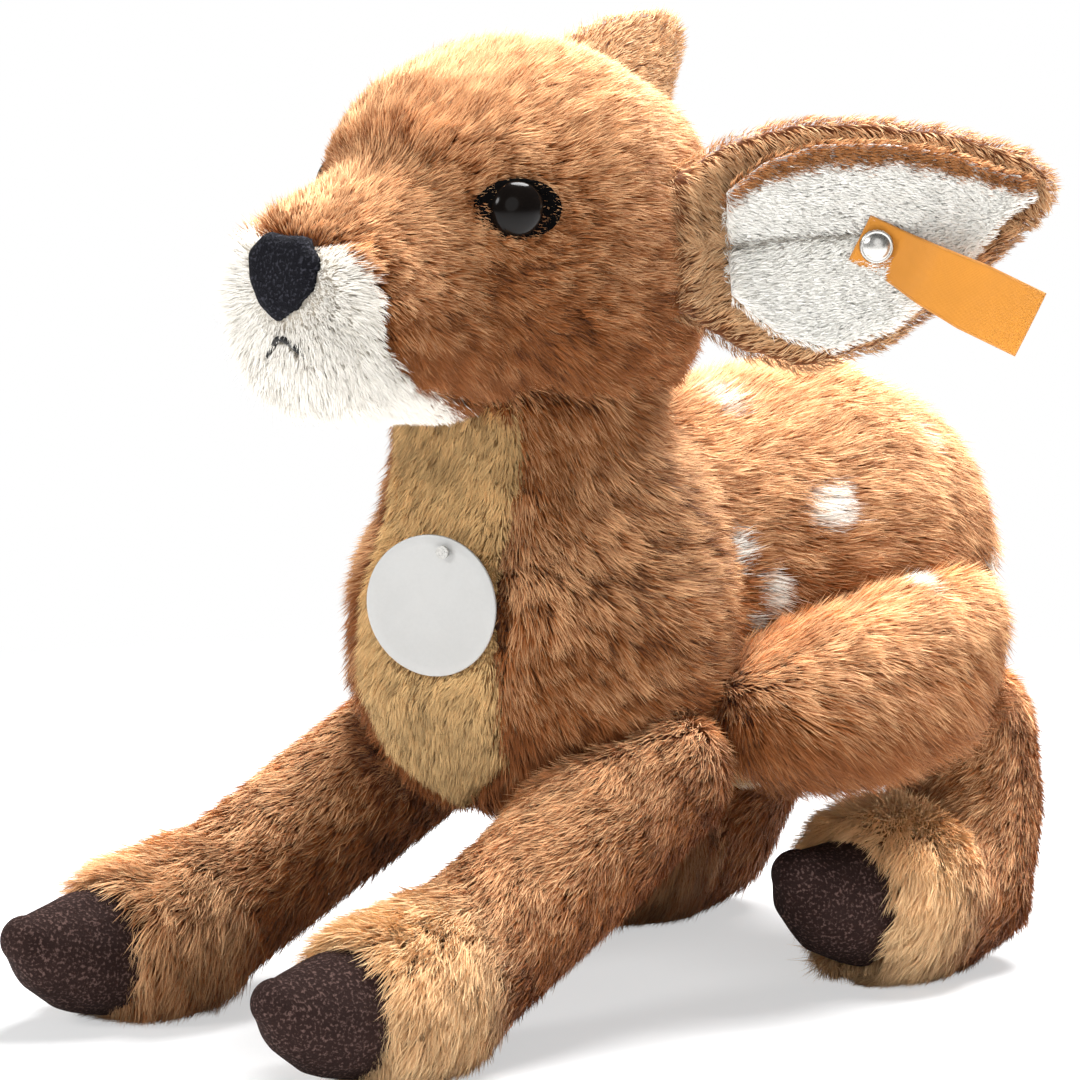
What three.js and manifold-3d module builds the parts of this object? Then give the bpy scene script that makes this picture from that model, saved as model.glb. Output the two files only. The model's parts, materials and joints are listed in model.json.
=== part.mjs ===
// A plush fawn lying down, made as the sewn toy is made: covers of pile cloth with stuffing inside them,
// safety eyes held by washers, a two-piece metal ear button, a woven ear label and a card chest tag.
// Millimetres, +Z up. The fawn faces -Y, its left side is +X, and it lies on the plane Z = 0.
import * as THREE from "three";
import { mergeVertices } from "three/addons/utils/BufferGeometryUtils.js";
import Module from "manifold-3d";

const wasm = await Module();
wasm.setup();

// Cloth and fits
const pileCloth = 3;
const panelCloth = 2.4;
const seamGap = 0.3;
const swingGap = 0.5;
const turningRoom = 4;
const soleDepth = 0.5;
const weldGap = 0.0003;
const overrun = 90;

// Driving sizes of the body. Heights are above the floor, places along Y are from the toy's middle
const chest = { bottom: 47.5, width: 89, depth: 87, middle: 1, round: 15 };
const neck = { width: 60, top: 153.5, middle: -4 };
const rump = { front: 16, length: 103, width: 83, height: 99, middle: 93.5, round: 22 };
const thigh = { length: 78, width: 38, height: 33, front: 30, side: 42, level: 78, round: 12 };
const bib = { width: 39, top: 146.5, bottom: 52, side: 1.5 };
const belly = { width: 50, length: 62, middle: 56 };
const tail = { length: 27, width: 17, height: 12, level: 107, droop: 50, ball: 5.5, round: 5 };
const tailSwing = { least: -20, most: 20 };

// Driving sizes of the head, in its own frame: forward is -Y and the neck's axis is X = 0, Y = 0
const head = { level: 182.5, height: 93, width: 84, back: 43, forward: 79.5, round: 15, turn: 3 };
const muzzle = { edge: 68.5, top: 187, fold: 166, jawFront: 58, jawTop: 156, jawBack: 20, jawLow: 146 };
const nose = { width: 20.5, height: 18.5, depth: 8, bevel: 2.4, proud: 2, level: 180.5 };
const mouth = { level: 166.5, drop: 5, width: 20, thickness: 1.2 };
const eye = { diameter: 12, dome: 4.2, level: 195, bearing: 42, play: 1, shank: 3, grip: 3 };
const eyePatch = { length: 22, height: 15, thickness: 1.2 };
const washer = { diameter: 11, thickness: 1.5 };

// Driving sizes of the ears, from the middle of the seam on the head
const ear = { length: 87, height: 56, cup: 7, bead: 3.4, level: 183.5, tip: 3 };
const earBearing = { left: 105, right: 120 };
const earSweep = { left: 46, right: 80 };
const earRise = { left: 3, right: 19 };
const earSwing = { least: -8, most: 20 };
const lining = { border: 4.5, start: 11, gap: 0.6, play: 1.9 };
const button = { diameter: 8, dome: 1.6, rim: 0.8, shank: 2.6, along: 46, below: 3, washer: 1.2 };
const label = { length: 44, width: 16.5, thickness: 0.8, droop: 29, rise: 10.5 };

// Driving sizes of the chest tag and its pin
const tag = { diameter: 33.5, thickness: 1, hang: 13.5, standOff: 2.6 };
const tagPose = { level: 100, bearing: 13, turn: 5, lean: -14 };
const pin = { diameter: 1.4, head: 3.2, headHeight: 0.8, depth: 8 };

// Driving sizes of the legs
const frontLeg = { length: 127, height: 60, thickness: 35, side: 38, root: 4, ball: 14, round: 14 };
const frontSpread = { left: 6, right: 6 };
const frontSwing = { least: -5, most: 20 };
const hindLeg = { length: 60, height: 58, thickness: 37, side: 35, root: 105, ball: 15, round: 14 };
const hindSpread = { left: 10, right: 12 };
const hindSwing = { least: -4, most: 14 };
const hoof = { length: 30, width: 31, round: 5 };

// Rows of shares: [height, width, depth] of the chest, from its bottom to the neck's top
const chestShares = [
  [0.13, 0.84, 0.84],
  [0.28, 1, 1],
  [0.5, 0.97, 0.99],
  [0.68, 0.83, 0.85],
];
const neckShares = [0.83, 1];
// Rows of shares: [place along the rump, width, height, lift of its middle]
const rumpShares = [
  [0, 0.7, 0.88, 0.03],
  [0.24, 0.82, 0.95, 0.02],
  [0.48, 0.97, 1, 0],
  [0.7, 1, 1, 0],
  [0.9, 0.84, 0.84, -0.02],
];
// Rows of shares: [place along the thigh, width, height, lift of its middle, move outwards]
const thighShares = [
  [0, 0.78, 0.62, -0.12, 0.06],
  [0.33, 0.98, 0.9, -0.06, 0.04],
  [0.66, 1, 1, 0.04, 0],
  [1, 0.8, 0.82, 0.16, -0.1],
];
// Rows of shares: [place forward of the neck's axis, width, height, lift of the middle]
const headBackShares = [
  [1, 0.74, 0.72, 0.05],
  [0.45, 0.95, 0.95, 0.01],
];
const headFrontShares = [
  [0, 1, 1, 0],
  [0.21, 0.96, 0.955, 0],
  [0.38, 0.85, 0.87, -0.005],
  [0.5, 0.72, 0.81, -0.04],
  [0.63, 0.54, 0.69, -0.08],
  [0.82, 0.53, 0.6, -0.096],
  [1, 0.54, 0.54, -0.13],
];
const headFullShare = 0.82;
// Rows of shares: [length, height, thickness, spread] from the shoulder or hip to the hoof's seam
const frontLegShares = [
  [0, 1, 1, 0],
  [0.16, 0.74, 1.02, 0.4],
  [0.36, 0.42, 1, 0.8],
  [0.53, 0.17, 1, 1],
  [0.64, 0.04, 1.03, 1.1],
  [0.73, 0, 1.02, 1.12],
  [0.79, -0.005, 0.94, 1.15],
];
const hindLegShares = [
  [0, 1, 0.98, 0],
  [0.02, 0.5, 0.94, 0.56],
  [0.14, 0.09, 1.02, 0.94],
  [0.3, 0.01, 1, 0.97],
  [0.46, 0, 0.98, 0.98],
  [0.68, 0.055, 0.88, 1.02],
];
// Rows of shares: [place along the ear, height of its top edge, height of its low edge]
const earShares = [
  [0, 0.3, -0.3],
  [0.14, 0.42, -0.47],
  [0.32, 0.48, -0.56],
  [0.52, 0.47, -0.48],
  [0.74, 0.41, -0.27],
  [0.92, 0.31, -0.02],
  [1, 0.2, 0.12],
];
// Under 1, the ear's cup is deepest near its root
const cupShare = 0.75;
// Rows of shares: [place along the hoof, width, height, rise of the middle]
const hoofShares = [
  [0, 1, 1, 0],
  [0.45, 0.92, 0.9, 0.04],
  [0.8, 0.66, 0.64, 0.13],
  [1, 0.4, 0.38, 0.22],
];
// Rows of shares: [place along the tail, width, height]
const tailShares = [
  [0, 0.6, 0.7],
  [0.4, 0.95, 0.95],
  [1, 0.8, 0.8],
];
// Points of the bib's right edge from its top to its tip: [half width, height]
const bibShares = [
  [0.92, 1],
  [0.98, 0.55],
  [1.14, 0.3],
  [0.98, 0.12],
  [0, 0],
];
// Points of the nose's outline: [half width, height above its middle]
const noseShares = [
  [0, 0.46],
  [0.62, 0.5],
  [1, 0.3],
  [0.88, -0.02],
  [0.45, -0.36],
  [0, -0.5],
];
// Points of the mouth: [half width, drop]
const mouthShares = [
  [1, 1],
  [0.55, 0.5],
  [0, 0],
  [-0.55, 0.5],
  [-1, 1],
];
// Rows of shares: [place along the label, width, rise]
const labelShares = [
  [-0.1, 0.72, 0],
  [0.1, 0.74, 0],
  [0.3, 0.88, 0.75],
  [0.55, 1, 0.95],
  [0.9, 1, 1],
];

// Counts of sides and steps
const bodyForm = { sides: 20, steps: 1, capRings: 2 };
const limbForm = { sides: 12, steps: 1, capRings: 2 };
const insideForm = { sides: 10, steps: 1, capRings: 1 };
const roundSides = 16;
const clearingSteps = 1;
const earColumns = 6;
const domeRings = 4;
const noseRounds = 2;
const threadSteps = 3;

const colours = {
  coat: { color: 0xb4733e, roughness: 0.95, metalness: 0 },
  cream: { color: 0xd9bc85, roughness: 0.95, metalness: 0 },
  white: { color: 0xeeeeea, roughness: 0.95, metalness: 0 },
  lining: { color: 0xebe8df, roughness: 0.95, metalness: 0 },
  stuffing: { color: 0xf5f5f2, roughness: 1, metalness: 0 },
  noseVelour: { color: 0x23242a, roughness: 0.9, metalness: 0 },
  thread: { color: 0x17171a, roughness: 0.8, metalness: 0 },
  eyePatch: { color: 0x141214, roughness: 0.95, metalness: 0 },
  eye: { color: 0x0a0a0b, roughness: 0.08, metalness: 0 },
  washer: { color: 0xe8e8e4, roughness: 0.5, metalness: 0 },
  hoof: { color: 0x3a2a2a, roughness: 0.9, metalness: 0 },
  nickel: { color: 0xc4c4c2, roughness: 0.25, metalness: 1 },
  label: { color: 0xf5b23a, roughness: 0.8, metalness: 0 },
  card: { color: 0xdedede, roughness: 0.6, metalness: 0 },
};

const X = new THREE.Vector3(1, 0, 0);
const Y = new THREE.Vector3(0, 1, 0);
const Z = new THREE.Vector3(0, 0, 1);
const vec = (x, y, z) => new THREE.Vector3(x, y, z);
const degrees = THREE.MathUtils.degToRad;

// Joined points and triangles as a closed geometry
function surfaceOf(points, triangles) {
  const geometry = new THREE.BufferGeometry();
  geometry.setAttribute("position", new THREE.Float32BufferAttribute(points.flatMap((p) => p.toArray()), 3));
  geometry.setIndex(triangles);
  return geometry;
}

// A closed geometry as a solid that can be cut and joined
function solid(geometry) {
  const bare = geometry.clone();
  bare.deleteAttribute("normal");
  bare.deleteAttribute("uv");
  const merged = mergeVertices(bare, weldGap);
  const mesh = new wasm.Mesh({
    numProp: 3,
    vertProperties: new Float32Array(merged.attributes.position.array),
    triVerts: new Uint32Array(merged.index.array),
  });
  return new wasm.Manifold(mesh);
}

// A solid back as a geometry with flat-shaded faces
function geometryOf(made) {
  const mesh = made.getMesh();
  const points = new THREE.BufferGeometry();
  const corners = [];
  for (let i = 0; i < mesh.numVert; i += 1) {
    corners.push(...mesh.vertProperties.subarray(i * mesh.numProp, i * mesh.numProp + 3));
  }
  points.setAttribute("position", new THREE.Float32BufferAttribute(corners, 3));
  points.setIndex([...mesh.triVerts]);
  const flat = points.toNonIndexed();
  flat.computeVertexNormals();
  return flat;
}

const joined = (first, ...others) => others.reduce((sum, other) => sum.add(other), first);
const cut = (first, ...tools) => tools.reduce((rest, tool) => rest.subtract(tool), first);
const shared = (first, ...others) => others.reduce((rest, other) => rest.intersect(other), first);
const moved = (geometry, matrix) => geometry.clone().applyMatrix4(matrix);

// The frame whose X, Y and Z axes point along the given ones, with its origin at a place
const frameAt = (place, x, y, z) => new THREE.Matrix4().makeBasis(x, y, z).setPosition(place);

// What a swinging piece meets: forms grown by a room and turned back about its axis, over its swing
function metOn(forms, room, place, axis, swing) {
  const met = [];
  for (let i = 0; i <= clearingSteps; i += 1) {
    const angle = swing.least + ((swing.most - swing.least) * i) / clearingSteps;
    const back = new THREE.Matrix4().makeRotationAxis(axis, degrees(-angle));
    for (const { form, counts } of forms) {
      const block = stuffed(form, counts, -room).translate(-place.x, -place.y, -place.z);
      met.push(solid(moved(block, back).translate(place.x, place.y, place.z)));
    }
  }
  return met;
}

// A cosine or sine that makes an oval squarer where its fullness is under 1
const fuller = (value, full = 1) => Math.sign(value) * Math.abs(value) ** full;

// A stuffed form: oval rings along a line of rows, closed by round ends. A form with a positive inset
// lies that far inside, and an end that is left open runs on straight, to pierce the cover around it
function stuffed(form, counts, inset = 0, openStart = false, openEnd = false) {
  const line = new THREE.CatmullRomCurve3(form.rows.map((row) => row.at));
  const girth = new THREE.CatmullRomCurve3(form.rows.map((row) => vec(row.wide, row.high, 0)));
  const rings = [];
  const ring = (t, shift, share) => {
    const tangent = line.getTangent(t);
    const across = X.clone().addScaledVector(tangent, -X.dot(tangent)).normalize();
    const up = tangent.clone().cross(across).negate();
    const size = girth.getPoint(t);
    const centre = line.getPoint(t).addScaledVector(tangent, shift);
    const points = [];
    for (let i = 0; i < counts.sides; i += 1) {
      const angle = (2 * Math.PI * (i + 1 / 2)) / counts.sides;
      const point = centre.clone();
      point.addScaledVector(across, (size.x - inset) * share * fuller(Math.cos(angle), form.full));
      point.addScaledVector(up, (size.y - inset) * share * fuller(Math.sin(angle), form.full));
      points.push(point);
    }
    rings.push({ points, centre });
  };
  const cap = Math.max(form.round - inset, seamGap);
  const quarter = Math.PI / 2;
  if (openStart) {
    ring(0, -form.round - pileCloth, 1);
  } else {
    for (let i = 0; i < counts.capRings; i += 1) {
      const angle = quarter * (1 - (i + 1 / 2) / (counts.capRings + 1 / 2));
      ring(0, -cap * Math.sin(angle), Math.cos(angle));
    }
  }
  const stretches = (form.rows.length - 1) * counts.steps;
  for (let i = 0; i <= stretches; i += 1) {
    ring(i / stretches, 0, 1);
  }
  if (openEnd) {
    ring(1, form.round + pileCloth, 1);
  } else {
    for (let i = counts.capRings - 1; i >= 0; i -= 1) {
      const angle = quarter * (1 - (i + 1 / 2) / (counts.capRings + 1 / 2));
      ring(1, cap * Math.sin(angle), Math.cos(angle));
    }
  }
  const last = rings.length - 1;
  const startPole = openStart ? rings[0].centre : line.getPoint(0).addScaledVector(line.getTangent(0), -cap);
  const endPole = openEnd ? rings[last].centre : line.getPoint(1).addScaledVector(line.getTangent(1), cap);
  return ringed(rings.map((one) => one.points), startPole, endPole);
}

// A closed surface over rings of equal counts of points, ending in a pole at each end
function ringed(rings, startPole, endPole) {
  const sides = rings[0].length;
  const points = [startPole, ...rings.flat(), endPole];
  const triangles = [];
  const place = (ring, side) => 1 + ring * sides + (side % sides);
  for (let side = 0; side < sides; side += 1) {
    triangles.push(0, place(0, side), place(0, side + 1));
    for (let ring = 0; ring + 1 < rings.length; ring += 1) {
      triangles.push(place(ring, side), place(ring + 1, side), place(ring + 1, side + 1));
      triangles.push(place(ring, side), place(ring + 1, side + 1), place(ring, side + 1));
    }
    triangles.push(points.length - 1, place(rings.length - 1, side + 1), place(rings.length - 1, side));
  }
  return outward(surfaceOf(points, triangles));
}

// The same surface with its faces pointing out
function outward(geometry) {
  const places = geometry.attributes.position;
  const index = geometry.index.array;
  const corner = (i) => vec(0, 0, 0).fromBufferAttribute(places, index[i]);
  let volume = 0;
  for (let i = 0; i < index.length; i += 3) {
    volume += corner(i).dot(corner(i + 1).cross(corner(i + 2)));
  }
  if (volume < 0) {
    geometry.setIndex([...index].reverse());
  }
  return geometry;
}

// Where a ray from a place meets a surface from inside, with the outward normal there
function surfaceFrom(geometry, place, direction) {
  const shell = new THREE.Mesh(geometry, new THREE.MeshBasicMaterial({ side: THREE.DoubleSide }));
  const hits = new THREE.Raycaster(place, direction.clone().normalize()).intersectObject(shell);
  const hit = hits[hits.length - 1];
  const normal = hit.face.normal.clone();
  return { point: hit.point, normal: normal.dot(direction) < 0 ? normal.negate() : normal };
}

// A cylinder from one place along a direction
function rod(radius, start, direction, length, sides = roundSides) {
  const turn = new THREE.Quaternion().setFromUnitVectors(Y, direction.clone().normalize());
  const middle = start.clone().addScaledVector(direction.clone().normalize(), length / 2);
  const upright = new THREE.CylinderGeometry(radius, radius, length, sides);
  return upright.applyQuaternion(turn).translate(...middle.toArray());
}

// A ball with its poles up and down
function ballAt(place, radius) {
  const ball = new THREE.SphereGeometry(radius, roundSides, limbForm.sides / 2);
  return ball.rotateX(Math.PI / 2).translate(...place.toArray());
}

// The blocks below the floor and above a height, which trim what reaches there
const slab = () => new THREE.BoxGeometry(4 * overrun, 4 * overrun, overrun);
const floorBlock = () => slab().translate(0, 0, -overrun / 2);
const above = (height) => slab().translate(0, 0, height + overrun / 2);

// Forms of the body, as rows of real sizes
const chestRise = neck.top - chest.bottom;
const chestForm = {
  rows: [
    ...chestShares.map(([height, width, depth]) => ({
      at: vec(0, chest.middle, chest.bottom + height * chestRise),
      wide: (width * chest.width) / 2,
      high: (depth * chest.depth) / 2,
    })),
    ...neckShares.map((height) => ({
      at: vec(0, neck.middle, chest.bottom + height * chestRise),
      wide: neck.width / 2,
      high: neck.width / 2,
    })),
  ],
  round: chest.round,
};
const rumpForm = {
  rows: rumpShares.map(([place, width, height, lift]) => ({
    at: vec(0, rump.front + place * rump.length, rump.middle + lift * rump.height),
    wide: (width * rump.width) / 2,
    high: (height * rump.height) / 2,
  })),
  round: rump.round,
};
const thighForm = (side) => ({
  rows: thighShares.map(([place, width, height, lift, out]) => ({
    at: vec(
      side * (thigh.side + out * thigh.width),
      thigh.front + place * (thigh.length - thigh.round),
      thigh.level + lift * thigh.height,
    ),
    wide: (width * thigh.width) / 2,
    high: (height * thigh.height) / 2,
  })),
  round: thigh.round,
});

// Forms of the head
const headForm = {
  rows: [
    ...headBackShares.map(([place, width, height, lift]) => ({
      at: vec(0, place * (head.back - head.round), head.level + lift * head.height),
      wide: (width * head.width) / 2,
      high: (height * head.height) / 2,
    })),
    ...headFrontShares.map(([place, width, height, lift]) => ({
      at: vec(0, -place * (head.forward - head.round), head.level + lift * head.height),
      wide: (width * head.width) / 2,
      high: (height * head.height) / 2,
    })),
  ],
  round: head.round,
  full: headFullShare,
};

// Forms of the legs. The row of height 0 is the foot, which the floor wears flat
const legForm = (leg, shares, side, spreadOut) => {
  const [, , footThickness] = shares.find(([, height]) => height === 0);
  const footLevel = ((footThickness * leg.thickness) / 2) * Math.cos(Math.PI / limbForm.sides) - soleDepth;
  return {
    rows: shares.map(([length, height, thickness, spread]) => ({
      at: vec(
        side * (leg.side + spread * spreadOut),
        leg.root - length * leg.length,
        footLevel + height * (leg.height - footLevel),
      ),
      wide: (thickness * leg.thickness) / 2,
      high: (thickness * leg.thickness) / 2,
    })),
    round: leg.round,
  };
};

const toy = new THREE.Group();

// A group at the place that it turns about. Its pieces are modelled in the frame of the body or the head
function hinged(parent, name, place) {
  const group = new THREE.Group();
  group.name = name;
  group.userData.place = place;
  group.position.copy(place).sub(parent.userData.place ?? vec(0, 0, 0));
  parent.add(group);
  return group;
}

function piece(group, name, made, look) {
  const place = group.userData.place ?? vec(0, 0, 0);
  const geometry = geometryOf(made).translate(-place.x, -place.y, -place.z);
  const mesh = new THREE.Mesh(geometry, new THREE.MeshStandardMaterial(colours[look]));
  mesh.name = name;
  group.add(mesh);
}

// The side of the toy as a word and a sign: its left is +X
const sides = [
  ["left", 1],
  ["right", -1],
];

// Places of the joints and of what is sewn on
const neckPlace = vec(0, neck.middle, 0);
const legPlace = (leg, side) => vec(side * leg.side, leg.root, leg.height);
const socketOf = (radius, corners) => (radius + swingGap) / Math.cos(Math.PI / corners);
const trunkAt = (inset, counts) =>
  joined(solid(stuffed(chestForm, counts, inset, false, true)), solid(stuffed(rumpForm, counts, inset)));
const rumpBack = surfaceFrom(stuffed(rumpForm, bodyForm), vec(0, rump.front, tail.level), Y);
const legSockets = sides.flatMap(([, side]) => [
  solid(ballAt(legPlace(frontLeg, side), socketOf(frontLeg.ball, roundSides))),
  solid(ballAt(legPlace(hindLeg, side), socketOf(hindLeg.ball, roundSides))),
]);
const tailSocket = solid(ballAt(rumpBack.point, socketOf(tail.ball, roundSides)));
const neckTrim = solid(above(neck.top));

// The pin goes into the chest above the middle of the tag, along the tag's own normal
const turned = (bearing) => vec(Math.sin(degrees(bearing)), -Math.cos(degrees(bearing)), 0);
const chestSurface = stuffed(chestForm, bodyForm);
const tagSeat = surfaceFrom(chestSurface, vec(0, chest.middle, tagPose.level), turned(tagPose.bearing));
const tagUp = Z.clone().addScaledVector(tagSeat.normal, -Z.dot(tagSeat.normal)).normalize();
const tagFrame = frameAt(
  tagSeat.point.clone().addScaledVector(tagSeat.normal, tag.standOff),
  tagUp.clone().cross(tagSeat.normal),
  tagUp,
  tagSeat.normal,
)
  .multiply(new THREE.Matrix4().makeRotationY(degrees(tagPose.turn)))
  .multiply(new THREE.Matrix4().makeRotationZ(degrees(tagPose.lean)));
const tagNormal = vec(0, 0, 1).transformDirection(tagFrame);
const pinPlace = vec(0, tag.hang, 0).applyMatrix4(tagFrame);
const inwards = tagNormal.clone().negate();
const pinHole = solid(
  rod(pin.diameter / 2 + seamGap, pinPlace, inwards, pin.depth + seamGap, limbForm.sides),
);

// A prism whose outline lies in the X-Z plane, running forwards from the middle of the toy
function frontPrism(points, length) {
  const made = new THREE.ExtrudeGeometry(new THREE.Shape(points), { depth: length, bevelEnabled: false });
  return solid(made.rotateX(Math.PI / 2));
}

function bibOutline(grow) {
  const half = bib.width / 2 + grow;
  const bottom = bib.bottom - grow;
  const corners = bibShares.map(([out, height]) => [out * half, bottom + height * (bib.top + grow - bottom)]);
  const right = corners.map(([out, height]) => new THREE.Vector2(bib.side + out, height));
  const left = corners.slice(0, -1).map(([out, height]) => new THREE.Vector2(bib.side - out, height));
  return [...right, ...left.reverse()];
}

function bellyPrism(grow) {
  const outline = new THREE.Shape();
  outline.absellipse(0, 0, belly.width / 2 + grow, belly.length / 2 + grow, 0, 2 * Math.PI);
  const made = new THREE.ExtrudeGeometry(outline, {
    depth: rump.middle,
    bevelEnabled: false,
    curveSegments: bodyForm.sides / 2,
  });
  return solid(made.translate(0, belly.middle, 0));
}

// The body: a cover open at the neck, its cream panels, its stuffing and the thighs
const torso = new THREE.Group();
torso.name = "torso";
toy.add(torso);
const trunkShell = cut(
  trunkAt(0, bodyForm),
  trunkAt(pileCloth, insideForm),
  neckTrim,
  pinHole,
  tailSocket,
  ...legSockets,
);
const bibLength = chest.depth;
const bibCut = frontPrism(bibOutline(seamGap), bibLength);
piece(torso, "torso_cover", cut(trunkShell, bibCut, bellyPrism(seamGap)), "coat");
piece(torso, "chest_bib", shared(trunkShell, frontPrism(bibOutline(0), bibLength)), "cream");
piece(torso, "belly_panel", shared(trunkShell, bellyPrism(0)), "cream");
piece(
  torso,
  "torso_filling",
  cut(trunkAt(pileCloth + seamGap, insideForm), neckTrim, pinHole, tailSocket, ...legSockets),
  "stuffing",
);

const trunkCleared = trunkAt(-seamGap, bodyForm);
for (const [word, side] of sides) {
  const form = thighForm(side);
  const hollow = solid(stuffed(form, insideForm, pileCloth));
  const cover = cut(solid(stuffed(form, limbForm)), hollow, trunkCleared, ...legSockets);
  piece(torso, `thigh_${word}_cover`, cover, "coat");
  const filling = cut(solid(stuffed(form, insideForm, pileCloth + seamGap)), trunkCleared, ...legSockets);
  piece(torso, `thigh_${word}_filling`, filling, "stuffing");
}

// The pin's head and rod, and the tag that swings on it
const pinRun = tag.thickness + 2 * seamGap;
const pinTop = pinPlace.clone().addScaledVector(tagNormal, pinRun);
piece(
  torso,
  "tag_pin",
  joined(
    solid(rod(pin.diameter / 2, pinTop, inwards, pinRun + pin.depth, limbForm.sides)),
    solid(rod(pin.head / 2, pinTop, tagNormal, pin.headHeight, limbForm.sides)),
  ),
  "nickel",
);
const tagGroup = hinged(torso, "chest_tag", pinPlace);
const tagOutline = new THREE.Shape().absarc(0, 0, tag.diameter / 2, 0, 2 * Math.PI);
const tagHole = new THREE.Path().absarc(0, tag.hang, pin.diameter / 2 + seamGap, 0, 2 * Math.PI, true);
tagOutline.holes.push(tagHole);
const tagPlate = new THREE.ExtrudeGeometry(tagOutline, {
  depth: tag.thickness,
  bevelEnabled: false,
  curveSegments: roundSides / 2,
}).translate(0, 0, seamGap);
piece(tagGroup, "chest_tag", solid(moved(tagPlate, tagFrame)), "card");

// A leg turns about an upright line through the ball at its root, which is tucked into the body. It is
// cut back from what it would meet on its way, and it is one closed sock from there to the hoof's seam
function legOf(group, name, form, ball, met) {
  const line = new THREE.CatmullRomCurve3(form.rows.map((row) => row.at));
  const end = line.getPoint(1);
  const ahead = line.getTangent(1);
  const across = X.clone().addScaledVector(ahead, -X.dot(ahead)).normalize();
  const endFrame = frameAt(end, across, ahead.clone().cross(across), ahead);
  const cube = new THREE.BoxGeometry(overrun, overrun, overrun).translate(0, 0, overrun / 2);
  const beyond = (shift) => solid(moved(cube.clone().translate(0, 0, shift), endFrame));
  const floor = solid(floorBlock());
  const body = joined(cut(solid(stuffed(form, limbForm, 0, false, true)), ...met(0)), ball);
  const hollow = cut(solid(stuffed(form, insideForm, pileCloth, false, true)), ...met(pileCloth));
  piece(group, `${name}_cover`, cut(body, hollow, beyond(0), floor), "coat");
  const inset = pileCloth + seamGap;
  const core = cut(solid(stuffed(form, insideForm, inset, false, true)), ...met(inset));
  piece(group, `${name}_filling`, cut(core, beyond(0)), "stuffing");

  const last = form.rows[form.rows.length - 1];
  const rows = hoofShares.map(([along, width, height, rise]) => ({
    at: vec(0, rise * hoof.width, seamGap + along * (hoof.length - hoof.round)).applyMatrix4(endFrame),
    wide: (width * hoof.width) / 2,
    high: Math.min((height * hoof.width) / 2, last.high),
  }));
  const toe = solid(stuffed({ rows, round: hoof.round }, limbForm, 0, true));
  piece(group, `${name}_hoof`, cut(toe, beyond(seamGap - overrun), floor), "hoof");
}

const coarse = (form) => ({ form, counts: limbForm });
for (const [word, side] of sides) {
  const near = [rumpForm, thighForm(side)];
  const kinds = [
    ["front_leg", frontLeg, frontLegShares, frontSpread[word], frontSwing, [chestForm, ...near]],
    ["hind_leg", hindLeg, hindLegShares, hindSpread[word], hindSwing, near],
  ];
  for (const [kind, leg, shares, spreadOut, swing, forms] of kinds) {
    const place = legPlace(leg, side);
    const axis = Z.clone().multiplyScalar(side);
    const met = (inset) => metOn(forms.map(coarse), turningRoom + inset, place, axis, swing);
    const name = `${kind}_${word}`;
    const form = legForm(leg, shares, side, spreadOut);
    legOf(hinged(torso, name, place), name, form, solid(ballAt(place, leg.ball)), met);
  }
}

// The tail hangs from a ball in the back of the rump
const tailGroup = hinged(torso, "tail", rumpBack.point);
const tailWay = vec(0, Math.cos(degrees(tail.droop)), -Math.sin(degrees(tail.droop)));
const tailForm = {
  rows: tailShares.map(([along, width, height]) => ({
    at: rumpBack.point.clone().addScaledVector(tailWay, along * (tail.length - tail.round)),
    wide: (width * tail.width) / 2,
    high: (height * tail.height) / 2,
  })),
  round: tail.round,
};
const tailMet = metOn([{ form: rumpForm, counts: bodyForm }], swingGap, rumpBack.point, Z, tailSwing);
const tailBody = cut(solid(stuffed(tailForm, limbForm)), ...tailMet);
piece(tailGroup, "tail", joined(tailBody, solid(ballAt(rumpBack.point, tail.ball))), "coat");

// The head: its own frame stands on the neck's axis and is turned a little to the fawn's left
const headGroup = hinged(torso, "head", neckPlace);
headGroup.rotation.z = degrees(head.turn);
headGroup.userData.place = vec(0, 0, 0);
const headSurface = stuffed(headForm, bodyForm);
const neckHole = solid(rod(socketOf(neck.width / 2, roundSides), vec(0, 0, 0), Z, neck.top + swingGap));

// The white panel wraps the muzzle and runs back under the jaw
function sideways(points, grow) {
  const corners = points.map(([ahead, height]) => new THREE.Vector2(ahead - grow, height + grow));
  const block = new THREE.ExtrudeGeometry(new THREE.Shape(corners), {
    depth: 2 * overrun,
    bevelEnabled: false,
  });
  const frame = frameAt(vec(overrun, 0, 0), Y.clone().negate(), Z, X.clone().negate());
  return solid(moved(block, frame));
}
const muzzleOutline = [
  [muzzle.edge, muzzle.top],
  [muzzle.edge, muzzle.fold],
  [muzzle.jawFront, muzzle.jawTop],
  [muzzle.jawBack, muzzle.jawLow],
  [muzzle.jawBack, 0],
  [head.forward + overrun, 0],
  [head.forward + overrun, muzzle.top],
];

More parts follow.
